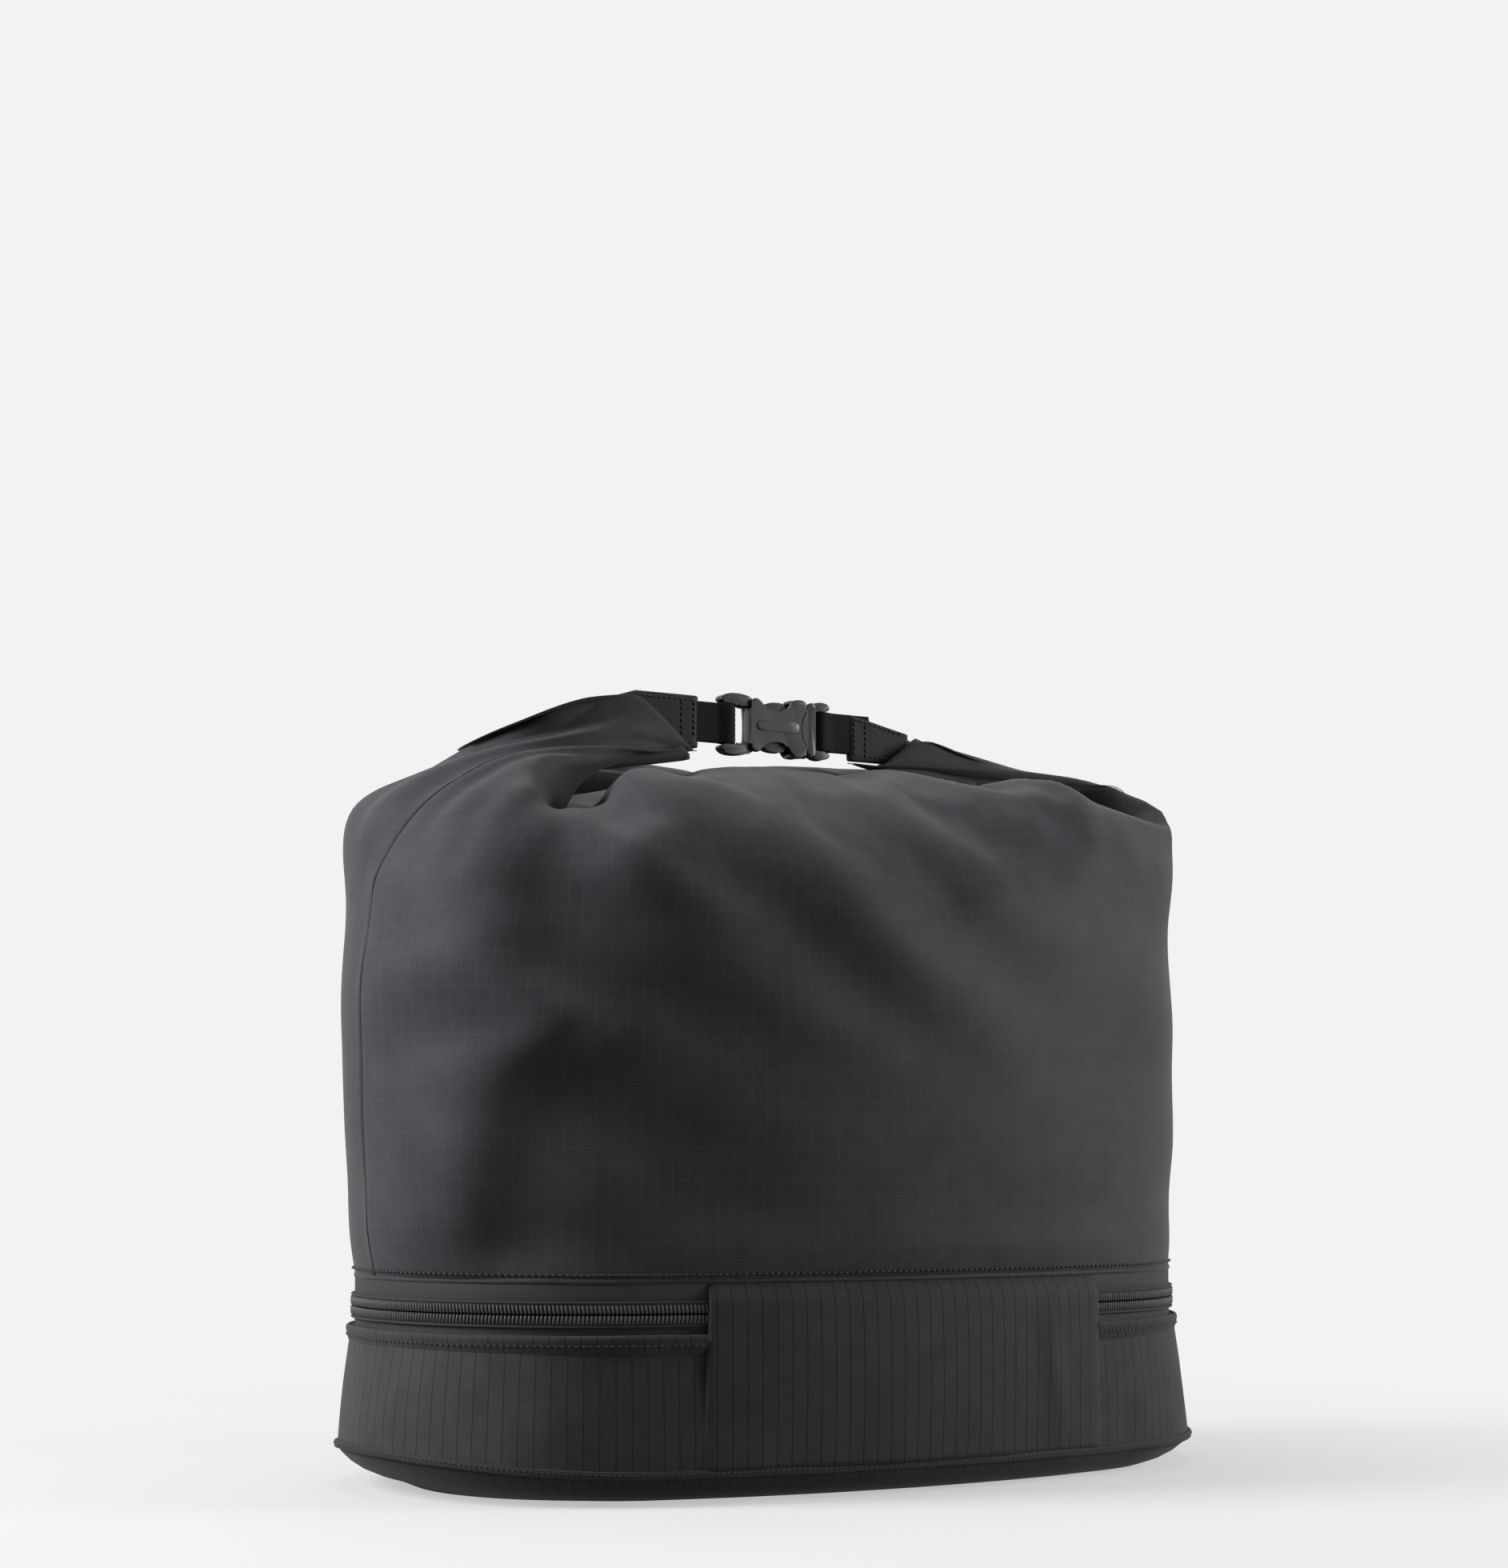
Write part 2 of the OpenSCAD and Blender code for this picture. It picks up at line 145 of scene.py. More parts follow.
def woven(name, ground, line, pitch, line_width, weave, rough, cross_lines):
    """Cloth with a square grid of thicker threads at pitch mm, on the piece's own cloth coordinates.

    The eye sees a dull, slightly uneven face with a fine grid. The real threads are about 0.2 mm apart,
    too fine to show, so the twill is drawn at 0.75 mm, the plain weave at 0.55 mm and the slubs, which are
    thick places in single threads, at 1.1 by 9.1 mm. Wear comes in patches of about 17 mm.
    """
    twill_rib = 0.75
    plain_thread = 0.55
    slub_width = 1.1111
    slub_length = 9.0909
    worn_patch = 16.6667
    material = bpy.data.materials.new(name)
    material.use_nodes = True
    tree = material.node_tree
    tree.nodes.clear()
    place = add_node(tree, "ShaderNodeUVMap", {}, uv_map="Cloth").outputs["UV"]
    split = add_node(tree, "ShaderNodeSeparateXYZ", {0: place})
    lines = []
    for axis in ("X", "Y"):
        value = split.outputs[axis]
        for operation, number in (("MULTIPLY", 1000 / pitch), ("FRACT", 0), ("SUBTRACT", 0.5),
                                  ("ABSOLUTE", 0), ("LESS_THAN", line_width / pitch / 2)):
            value = add_node(tree, MATH, {0: value, 1: number}, operation=operation).outputs[0]
        lines.append(value)
    across = add_node(tree, MATH, {0: lines[1], 1: cross_lines}, operation="MULTIPLY")
    grid = add_node(tree, MATH, {0: lines[0], 1: across.outputs[0]}, operation="MAXIMUM").outputs[0]
    if weave == "twill":
        slant = add_node(tree, MATH, {0: split.outputs["X"], 1: split.outputs["Y"]}, operation="ADD")
        threads = [(slant.outputs[0], twill_rib)]
    else:
        threads = [(split.outputs["X"], plain_thread), (split.outputs["Y"], plain_thread)]
    fine = 1.0
    for direction, spacing in threads:
        turns = add_node(tree, MATH, {0: direction, 1: 2000 * math.pi / spacing}, operation="MULTIPLY")
        wave = add_node(tree, MATH, {0: turns.outputs[0]}, operation="SINE")
        fine = add_node(tree, MATH, {0: wave.outputs[0], 1: fine}, operation="MULTIPLY").outputs[0]
    slubs = 0.0
    for run, rise in ((slub_width, slub_length), (slub_length, slub_width)):
        stretch = add_node(tree, "ShaderNodeMapping", {"Vector": place,
                                                       "Scale": (1000 / run, 1000 / rise, 1)})
        speck = add_node(tree, "ShaderNodeTexNoise", {"Vector": stretch.outputs[0], "Scale": 1, "Detail": 2})
        slubs = add_node(tree, MATH, {0: speck.outputs[0], 1: slubs}, operation="ADD").outputs[0]
    patch = add_node(tree, "ShaderNodeTexNoise", {"Vector": place, "Scale": 1000 / worn_patch, "Detail": 5})
    worn = add_node(tree, MATH, {0: slubs, 1: patch.outputs[0]}, operation="MULTIPLY")
    face = add_node(tree, "ShaderNodeMix", {"Factor": worn.outputs[0], "A": colour(ground, 0.8),
                                            "B": colour(ground, 1.38)}, data_type="RGBA")
    tint = add_node(tree, "ShaderNodeMix", {"Factor": grid, "A": face.outputs["Result"], "B": colour(line)},
                    data_type="RGBA")
    low = add_node(tree, MATH, {0: fine, 1: 0.35}, operation="MULTIPLY")
    height = add_node(tree, MATH, {0: grid, 1: 1.2, 2: low.outputs[0]}, operation="MULTIPLY_ADD")
    bump = add_node(tree, "ShaderNodeBump", {"Height": height.outputs[0], "Strength": 0.35,
                                             "Distance": 0.00012})
    shader = add_node(tree, "ShaderNodeBsdfPrincipled", {
        "Base Color": tint.outputs["Result"], "Roughness": rough, "Specular IOR Level": 0.06,
        "Sheen Weight": 0.05, "Sheen Roughness": 0.45, "Normal": bump.outputs["Normal"]})
    add_node(tree, "ShaderNodeOutputMaterial", {"Surface": shader.outputs["BSDF"]})
    return material


def add_grid(bm, points, columns, ring=False, loop=False, caps=()):
    """Adds a grid of points in mm that are stored row by row.

    A ring joins the last column to the first one, a loop the last row to the first one, and caps are the
    rows that are closed with a face.
    """
    rows = len(points) // columns
    wide = columns + ring
    verts = bmesh.ops.create_grid(bm, x_segments=wide - 1, y_segments=rows + loop - 1, size=1)["verts"]
    doubles = {}
    for k, vert in enumerate(verts):
        j, i = divmod(k, wide)
        if i < columns and j < rows:
            vert.co = [c / 1000 for c in points[j * columns + i]]
        else:
            doubles[vert] = verts[j % rows * wide + i % columns]
    for row in caps:
        start = row % rows * wide
        bm.faces.new(verts[start:start + columns])
    bmesh.ops.weld_verts(bm, targetmap=doubles)


def piece(name, bm, material, uvs=None, smooth=True):
    """An object from a bmesh, with cloth coordinates in mm for its vertices if they are given."""
    mesh = bpy.data.meshes.new(name)
    bm.to_mesh(mesh)
    bm.free()
    if uvs:
        layer = mesh.uv_layers.new(name="Cloth")
        for corner in mesh.loops:
            layer.data[corner.index].uv = [c / 1000 for c in uvs[corner.vertex_index]]
    for polygon in mesh.polygons:
        polygon.use_smooth = smooth
    mesh.materials.append(material)
    obj = bpy.data.objects.new(name, mesh)
    scene.collection.objects.link(obj)
    return obj


def sheet(name, points, columns, material, uvs=None, ring=False, loop=False, caps=()):
    """An object from a grid of points. One that is closed to a ring has its faces turned outwards."""
    bm = bmesh.new()
    add_grid(bm, points, columns, ring, loop, caps)
    if ring:
        bmesh.ops.recalc_face_normals(bm, faces=bm.faces)
    return piece(name, bm, material, uvs)


def thicken(obj, cloth):
    """Gives a sheet the thickness of its cloth in mm, inwards from its face."""
    shell = obj.modifiers.new("thickness", "SOLIDIFY")
    shell.thickness = cloth / 1000
    shell.offset = -1


base_cloth = woven("polyester_twill_base", "#403e40", "#302e30", TWILL_GRID, TWILL_LINE, "twill", 0.62, 0.12)
bottom_points = []
bottom_uvs = []
for j, (grow, z) in enumerate(BOTTOM_ROWS):
    for i in range(AROUND):
        s = i * PERIMETER / AROUND
        (x, y), normal = plan(s, grow)
        sag = 0.5 * ripple(x, y, z, 34, 3.0) * min(1, j / 2) + (lean_out(s) - SEAM_OUT) * z / SEAM_HEIGHT
        lift = end_lift(s) * math.sqrt(j / (len(BOTTOM_ROWS) - 1))
        bottom_points.append((x + normal[0] * sag, y + normal[1] * sag, z + lift))
        bottom_uvs.append((s, grow + z))
bottom = sheet("bottom_panel_cloth", bottom_points, AROUND, base_cloth, bottom_uvs, ring=True, caps=(0,))
thicken(bottom, BOTTOM_CLOTH)
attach(bottom, "base")
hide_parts("bottom_panel")


# Base wall
# The same heavy twill, standing round the left end, the back and the right end of the base. It leans out a
# little towards the bottom seam, with soft dents where it has been handled.
WALL_START = QUARTER + 96
WALL_END = PERIMETER + QUARTER - 96
WALL_LENGTH = WALL_END - WALL_START
WALL_FOOT = 12.6
WALL_TOP = 74.4
WALL_CLOTH = 1.3
WALL_COLUMNS = 460
WALL_ROWS = 22


def wall_grow(s, z):
    """How far the standing base wall lies outside the oval."""
    t = max(0.0, (z - 13) / 62)
    (x, y), _ = plan(s)
    lean = 0.2 + lean_out(s) + 1.1 * math.sin(math.pi * t)
    dents = 2.0 * ripple(x, y, z * 0.35, 52, 8.0) + 0.8 * ripple(x, y, z * 0.6, 21, 2.0)
    return lean * (1 - t) ** 0.8 - 0.6 * t + dents * math.sin(math.pi * min(1, t + 0.08))


wall_points = []
wall_uvs = []
for j in range(WALL_ROWS):
    t = j / (WALL_ROWS - 1)
    z = WALL_FOOT + (WALL_TOP - WALL_FOOT) * j / (WALL_ROWS - 1)
    for i in range(WALL_COLUMNS):
        s = WALL_START + WALL_LENGTH * i / (WALL_COLUMNS - 1)
        (x, y), _ = plan(s, wall_grow(s, z) - SEAM_OUT)
        wall_points.append((x, y, z + end_lift(s) * (1 - t)))
        wall_uvs.append((s, z))
wall = sheet("base_wall_cloth", wall_points, WALL_COLUMNS, base_cloth, wall_uvs)
thicken(wall, WALL_CLOTH)
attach(wall, "base")
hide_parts("base_band")


# Seam binding round the bottom
# A narrow polyester tape, folded over the seam between the wall and the bottom panel and sewn through with
# one row of thread.
SEAM_STITCH = 2.6


def sweep(name, section, path, material, step, loop=False):
    """A closed section of (outward, up) points in mm, carried along (point, normal) places step mm apart."""
    around = [0.0]
    for a, b in zip(section, section[1:]):
        around.append(around[-1] + math.dist(b, a))
    points = []
    uvs = []
    for i, ((x, y, z), normal) in enumerate(path):
        for k, (out, up) in enumerate(section):
            points.append((x + normal[0] * out, y + normal[1] * out, z + up))
            uvs.append((i * step, around[k]))
    ends = () if loop else (0, -1)
    return sheet(name, points, len(section), material, uvs, ring=True, loop=loop, caps=ends)


def round_section(lo, hi, radius, steps=4):
    """Rectangle of (outward, up) points between two corners with rounded edges."""
    corners = [(hi[0] - radius, hi[1] - radius, 0), (lo[0] + radius, hi[1] - radius, 90),
               (lo[0] + radius, lo[1] + radius, 180), (hi[0] - radius, lo[1] + radius, 270)]
    section = []
    for x, z, start in corners:
        for k in range(steps + 1):
            a = math.radians(start + 90 * k / steps)
            section.append((x + radius * math.cos(a), z + radius * math.sin(a)))
    return section


def plain(name, code, rough, specular, metal, relief, grain):
    """One colour with a fine grain, given in mm, that breaks up the shine."""
    material = bpy.data.materials.new(name)
    material.use_nodes = True
    tree = material.node_tree
    tree.nodes.clear()
    place = add_node(tree, "ShaderNodeTexCoord", {}).outputs["Object"]
    speck = add_node(tree, "ShaderNodeTexNoise", {"Vector": place, "Scale": 1000 / grain, "Detail": 4})
    tint = add_node(tree, "ShaderNodeMix", {"Factor": speck.outputs[0], "A": colour(code, 0.85),
                                            "B": colour(code, 1.15)}, data_type="RGBA")
    bump = add_node(tree, "ShaderNodeBump", {"Height": speck.outputs[0], "Strength": relief,
                                             "Distance": 0.0001})
    shader = add_node(tree, "ShaderNodeBsdfPrincipled", {
        "Base Color": tint.outputs["Result"], "Roughness": rough, "Specular IOR Level": specular,
        "Metallic": metal, "Normal": bump.outputs["Normal"]})
    add_node(tree, "ShaderNodeOutputMaterial", {"Surface": shader.outputs["BSDF"]})
    return material


def stitch_row(name, path, pitch, body, material, radius):
    """Single thread stitches along (point, normal) places in mm, sunk a little at their ends."""
    sides = 6
    share = 0.72
    reach = 0.2
    rings = ((0.0, -0.25, 0.55), (0.18, 0.12, 0.95), (0.5, 0.22, 1.0), (0.82, 0.12, 0.95), (1.0, -0.25, 0.55))
    lengths = [0.0]
    for (a, _), (b, _) in zip(path, path[1:]):
        lengths.append(lengths[-1] + (Vector(b) - Vector(a)).length)

    def at(d):
        d = max(0.0, min(lengths[-1], d))
        lo = 0
        hi = len(lengths) - 1
        while hi - lo > 1:
            mid = (lo + hi) // 2
            if lengths[mid] <= d:
                lo = mid
            else:
                hi = mid
        t = (d - lengths[lo]) / max(1e-9, lengths[hi] - lengths[lo])
        point = Vector(path[lo][0]).lerp(Vector(path[hi][0]), t)
        return point, Vector(path[lo][1]).lerp(Vector(path[hi][1]), t).normalized()

    bm = bmesh.new()
    for k in range(int(lengths[-1] / pitch)):
        start = (k + 0.5 - share / 2) * pitch
        points = []
        for t, lift, thick in rings:
            point, normal = at(start + t * share * pitch)
            ahead, _ = at(start + t * share * pitch + reach)
            behind, _ = at(start + t * share * pitch - reach)
            side = normal.cross(ahead - behind).normalized()
            for q in range(sides):
                a = 2 * math.pi * q / sides
                points.append(point + normal * (lift + radius * thick * math.sin(a))
                              + side * (radius * thick * math.cos(a)))
        add_grid(bm, points, sides, ring=True, caps=(0, -1))
    bmesh.ops.recalc_face_normals(bm, faces=bm.faces)
    obj = piece(name, bm, material)
    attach(obj, body)


def seam_spot(s, grow, z):
    """Place on the bottom seam, which wanders a little up and down."""
    (x, y), normal = plan(s, lean_out(s) + grow)
    return (x, y, z + 0.35 * ripple(x, y, 0, 30, 5.0) + end_lift(s)), normal + (0,)


# Twisted polyester thread has a faint shine. Woven polyester tape is dull, with a close grain.
thread_dark = plain("polyester_thread", "#1b1a1c", 0.55, 0.4, 0.0, 0.2, 1.1111)
binding_tape = plain("polyester_binding_tape", "#343135", 0.7, 0.15, 0.0, 0.5, 0.71429)
binding = sweep("seam_binding_tape", round_section((-0.8, -2.0), (1.2, 1.7), 0.8),
                [seam_spot(i * PERIMETER / AROUND, 0, SEAM_HEIGHT) for i in range(AROUND)], binding_tape,
                PERIMETER / AROUND, loop=True)
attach(binding, "base")
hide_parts("seam_binding")
seam_path = [seam_spot(i * PERIMETER / AROUND / 2, 1.15, SEAM_HEIGHT + 0.2) for i in range(AROUND * 2 + 1)]
stitch_row("seam_stitches", seam_path, SEAM_STITCH, "base", thread_dark, 0.28)


# Folded upper edge of the base wall
# The wall's twill turned in along the zip, so that it stands out as a soft welt, with one row of thread
# below the fold.
FOLD_SECTION = [(-0.3, -4.8), (0.9, -2.0), (1.6, 0.8), (2.0, 2.6), (1.8, 3.9), (1.1, 4.6), (0.1, 4.5),
                (-0.5, 3.6), (-0.9, -4.6), (-0.9, -6.0)]
FOLD_STEPS = 420
TOP_STITCH = 3.1
fold_cloth = woven("polyester_twill_fold", "#3e3c3e", "#302e30", TWILL_GRID, TWILL_LINE, "twill", 0.62, 0.12)


def fold_spot(share, inset, grow, z):
    """Place on the folded edge at a share of its length, which starts inset mm from the ends of the wall."""
    (x, y), normal = plan(WALL_START + inset + (WALL_LENGTH - 2 * inset) * share, grow)
    return (x, y, z + 0.35 * ripple(x, y, 0, 40, 12.0)), normal + (0,)


fold_edge = [fold_spot(i / (FOLD_STEPS - 1), 11, -0.2, 70.5) for i in range(FOLD_STEPS)]
welt = sweep("base_fold", FOLD_SECTION, fold_edge, fold_cloth, WALL_LENGTH / FOLD_STEPS)
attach(welt, "base")
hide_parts("base_welt")
welt_path = [fold_spot(i / (FOLD_STEPS * 2 - 1), 13, 1.2, 70.4) for i in range(FOLD_STEPS * 2)]
stitch_row("base_fold_stitches", welt_path, TOP_STITCH, "base", thread_dark, 0.42)


# Zip
# A woven polyester tape and half of a nylon coil on each side of the gap. Each coil is sewn along the edge
# of its tape. Its ribs show from one edge of the front panel round the back to the other edge.
ZIP_START = QUARTER + 95
ZIP_END = PERIMETER + QUARTER - 95
ZIP_LENGTH = ZIP_END - ZIP_START
ZIP_HEIGHT = 84
ZIP_STEPS = 420
RIB_PITCH = 1.87
RIB_SECTIONS = ((-2.05, 0.42, 0.35), (-1.6, 0.62, 0.85), (1.6, 0.62, 0.95), (2.05, 0.42, 0.4))
# The tape is dull and close-woven; the coil is moulded nylon with a low shine.
zip_tape = plain("polyester_zip_tape", "#2f2d31", 0.75, 0.3, 0.0, 0.6, 0.55556)
zip_coil = plain("nylon_coil", "#2e2c30", 0.6, 0.5, 0.0, 0.1, 1.1111)


def zip_strip(name, lo, hi, radius, steps, z, body):
    """A strip of the tape's weave along the whole zip, its section between two corners, at a height."""
    path = []
    for i in range(ZIP_STEPS):
        (x, y), normal = plan(ZIP_START + ZIP_LENGTH * i / (ZIP_STEPS - 1))
        path.append(((x, y, z), normal))
    strip = sweep(name, round_section(lo, hi, radius, steps), path, zip_tape, ZIP_LENGTH / ZIP_STEPS)
    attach(strip, body)
    return strip


for side, body, way, low, high in (("lower", "base", -1, 64.0, 83.4), ("upper", "upper", 1, 84.6, 99.0)):
    tape = zip_strip("zip_" + side + "_tape_cloth", (-3.1, low), (-2.3, high), 0.3, 2, 0, body)
    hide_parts("zip_" + side + "_tape")
    middle = ZIP_HEIGHT + 2.25 * way
    ribs = bmesh.new()
    for k in range(int(ZIP_LENGTH / RIB_PITCH)):
        rib_points = []
        for up, wide, tall in RIB_SECTIONS:
            for along, out in ((-wide, 0.0), (-wide * 0.7, tall), (wide * 0.7, tall), (wide, 0.0)):
                (x, y), _ = plan(ZIP_START + (k + 0.5) * RIB_PITCH + along - 0.12 * way * up, -1.25 + out)
                rib_points.append((x, y, middle + up))
        add_grid(ribs, rib_points, 4, caps=(0, -1))
    bmesh.ops.recalc_face_normals(ribs, faces=ribs.faces)
    coil = piece("zip_" + side + "_ribs", ribs, zip_coil)
    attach(coil, body)
    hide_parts("zip_" + side + "_chain")
    zip_strip("zip_" + side + "_coil_bed", (-2.3, way - 2.6), (-1.15, way + 2.6), 0.4, 2, middle, body)
    zip_strip("zip_" + side + "_tape_ridge", (-1.6, -0.45), (-0.55, 0.45), 0.4, 3, middle + 3 * way, body)


# Front panel of the base
# One plain piece of the twill over the ends of the zip. It is sewn to the bottom seam and to the sack's lower
# edge.
PANEL_COLUMNS = 120
PANEL_ROWS = 34
PANEL_FOOT = 15.2
PANEL_TOP = 98.2
PANEL_HALF = 108
PANEL_CLOTH = 1.1
front_cloth = woven("polyester_twill_front", "#3e3c3f", "#2c2a2c", TWILL_GRID, 0.6, "twill", 0.62, 0.1)


def near(value, middle, width):
    """1 at the middle, falling off smoothly to 0 over about twice the width."""
    return math.exp(-((value - middle) / width) ** 2)


panel_points = []
panel_uvs = []
for j in range(PANEL_ROWS):
    t = j / (PANEL_ROWS - 1)
    z = PANEL_FOOT + (PANEL_TOP - PANEL_FOOT) * t
    arch = math.sin(math.pi * t)
    for i in range(PANEL_COLUMNS):
        w = 2 * i / (PANEL_COLUMNS - 1) - 1
        half = PANEL_HALF + 3.5 * (1 - t) * (1 if w < 0 else 0.3)
        s = QUARTER + half * w * 1.004
        (x, y), normal = plan(s)
        edge = max(0.0, abs(w) - 0.965) / 0.035
        swell = 2.1 + 1.5 * arch * (1 - abs(w) ** 4) + 0.9 * ripple(x, 0, z * 0.5, 45, 17.0)
        swell = max(1.1, swell) - 0.9 * edge ** 2
        swell += 1.1 * near(s, QUARTER + 78 + 4 * math.sin(z / 14), 7) * arch
        swell -= (swell + 2.6) * max(0.0, (z - 88) / 9.5) ** 2
        panel_points.append((x + normal[0] * swell, y + normal[1] * swell, z))
        panel_uvs.append((s, z))
panel = sheet("front_panel_cloth", panel_points, PANEL_COLUMNS, front_cloth, panel_uvs)
thicken(panel, PANEL_CLOTH)
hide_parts("hinge_panel")
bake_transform(panel)


# Sack
# A tube of thin ripstop nylon, a front and a back panel sewn together at the two ends. It is filled, its
# mouth is flattened, rolled and bent round to the front, and the cloth settles over the filling.
SACK_FOOT = 97.5
SACK_INSET = -2.5
SACK_COLUMNS = 80
SACK_ROWS = 52
SACK_CLOTH = 0.5
RIPSTOP_GRID = 7.15
RIPSTOP_LINE = 0.3
HOOP_X = -4.5
HOOP_HALF = 115.0
HOOP_RADIUS = 32.0
HOOP_BACK = 59.0
TAB_HALF = 44.5
ROLL_BACK = 320.0
ROLL_LIFT = 32.0
ROLL_FACE = 25
HOOP_LENGTH = 2 * HOOP_HALF - TAB_HALF + math.pi * HOOP_RADIUS
sack_cloth = woven("nylon_ripstop", "#3d3e41", "#484a4d", RIPSTOP_GRID, RIPSTOP_LINE, "plain", 0.5, 0.9)
sack_columns = []
for i in range(2 * SACK_COLUMNS):
    front = i < SACK_COLUMNS
    u = -1 + 2 * i / SACK_COLUMNS if front else 1 - 2 * (i - SACK_COLUMNS) / SACK_COLUMNS
    sack_columns.append((u, front, 2 * QUARTER * i / SACK_COLUMNS))
count = len(sack_columns)


def clamp(value):
    """The value kept between 0 and 1."""
    return max(0.0, min(1.0, value))


def eased(value):
    """A clamped share with a soft start and end."""
    share = clamp(value)
    return share * share * (3 - 2 * share)


def hoop(u, bend=1.0):
    """Point and outward normal of the flattened mouth at share u from the back, bent forwards by a share."""
    d = abs(u) * HOOP_LENGTH
    side = -1 if u < 0 else 1
    middle = HOOP_X * bend
    if d < HOOP_HALF or bend < 0.001:
        return (middle + side * d, HOOP_BACK), (0.0, 1.0)
    radius = HOOP_RADIUS / bend
    a = min(bend * math.pi, (d - HOOP_HALF) / radius)
    rest = max(0.0, d - HOOP_HALF - math.pi * HOOP_RADIUS)
    x = HOOP_HALF + radius * math.sin(a) + rest * math.cos(a)
    y = HOOP_BACK - radius * (1 - math.cos(a)) - rest * math.sin(a)
    return (middle + side * x, y), (side * math.sin(a), math.cos(a))


def roll_height(u, bend=1.0):
    """Height of the lower edge of the rolled mouth."""
    return ROLL_BACK + ROLL_LIFT * bend * abs(u) ** 1.6


def roll_rise(u):
    """How much taller than at the back the roll stands: less round its bends, more before the left tab."""
    if u > 0:
        return -7 * near(u, 0.72, 0.16)
    return 6 * eased((-u - 0.66) / 0.12) - 8 * near(u, -0.58, 0.1)


def cloth_height(u, front):
    """Height of the cut cloth from the lower edge to the roll."""
    return 400 + 2 * u + (-1 if front else -88) * (1 - u * u)


def mouth(bend, z):
    """Upper edge of the flattened tube: bend is how far its ends are brought forwards."""
    edge = []
    for u, front, s in sack_columns:
        (x, y), normal = hoop(u, bend)
        off = -3.0 * (1 - abs(u) ** 8) if front else 8.5 * (1 - abs(u) ** 30)
        slant = ((1 + u) * HOOP_LENGTH - 4) / 33 if u < 0 else ((1 - u) * HOOP_LENGTH - 15) / 25
        cover = 0 if front else clamp(slant)
        up = roll_height(u, bend) - ROLL_BACK + cover * (ROLL_FACE + roll_rise(u))
        edge.append((x + normal[0] * off, y + normal[1] * off, z + up))
    return edge


# The cloth is simulated at ten times its size, because the solver is made for cloth of that size. The meshes
# of the simulation are built face by face: the order of their edges decides how the wrinkles fall.
SIM = 10.0
FLATTENED = 20
BEND_STEPS = 6
BEND_FRAMES = 5
MOUTH_OPEN = 420
SETTLED = 70


def tube_faces(columns, rows):
    """Faces of a tube whose points are stored row by row."""
    faces = []
    for j in range(rows - 1):
        for i in range(columns):
            k = (i + 1) % columns
            faces.append((j * columns + i, j * columns + k, (j + 1) * columns + k, (j + 1) * columns + i))
    return faces


def simulated(name, points, faces):
    """An object of the simulation from points in mm."""
    mesh = bpy.data.meshes.new(name)
    mesh.from_pydata([[c * SIM / 1000 for c in p] for p in points], [], faces)
    obj = bpy.data.objects.new(name, mesh)
    scene.collection.objects.link(obj)
    return obj


tube_points = []
cloth_up = []
for j in range(SACK_ROWS + 1):
    for u, front, s in sack_columns:
        (x, y), _ = plan(s, SACK_INSET)
        up = cloth_height(u, front) * j / SACK_ROWS
        tube_points.append((x, y, SACK_FOOT + up))
        cloth_up.append(up)
tube = simulated("sack_tube", tube_points, tube_faces(count, SACK_ROWS + 1))
tube.shape_key_add(name="open")
steps = []
for k in range(BEND_STEPS + 1):
    z = MOUTH_OPEN + (ROLL_BACK + 2 - MOUTH_OPEN) * k / BEND_STEPS
    steps.append((FLATTENED + BEND_FRAMES * k, mouth(k / BEND_STEPS, z)))
frames = [1] + [moment for moment, _ in steps]
for k, (moment, edge) in enumerate(steps):
    key = tube.shape_key_add(name="closing_%d" % k)
    for i, point in enumerate(edge):
        key.data[SACK_ROWS * count + i].co = [c * SIM / 1000 for c in point]
    key.value = 0
    key.keyframe_insert("value", frame=frames[k])
    key.value = 1
    key.keyframe_insert("value", frame=moment)
    if k + 2 < len(frames):
        key.value = 0
        key.keyframe_insert("value", frame=frames[k + 2])
held = tube.vertex_groups.new(name="held")
held.add(list(range(count)) + list(range(SACK_ROWS * count, (SACK_ROWS + 1) * count)), 1.0, "REPLACE")

# Solids inside the sack stand in for the coiled rope while the cloth settles: the filling with its two
# shoulders, the crest behind the front edge, and a ball in two corners.
FILL_COLUMNS = 120
FILL_ROWS = [(-8, 100), (-8, 240), (-12, 262), (-22, 280), (-40, 292), (-70, 300), (-100, 303)]
SHOULDER_ROWS = [(-6, 100), (-5, 250), (-3, 285), (-1, 307), (-3, 319), (-24, 326), (-80, 318)]
CREST = [(-118, 325), (-60, 330), (12, 332), (80, 330), (127, 327), (165, 317)]
CREST_Y = -62
CREST_RADIUS = 4
CREST_SIDES = 13
BALLS = ((-164, -70, 306, 14), (186, 52, 300, 18))
supports = []


def support(name, points, faces):
    """A solid that the cloth rests on, its faces turned outwards."""
    obj = simulated(name, points, faces)
    bm = bmesh.new()
    bm.from_mesh(obj.data)
    bmesh.ops.recalc_face_normals(bm, faces=bm.faces)
    bm.to_mesh(obj.data)
    bm.free()
    obj.modifiers.new("touch", "COLLISION")
    obj.collision.thickness_outer = 0.02
    obj.collision.cloth_friction = 0
    supports.append(obj)


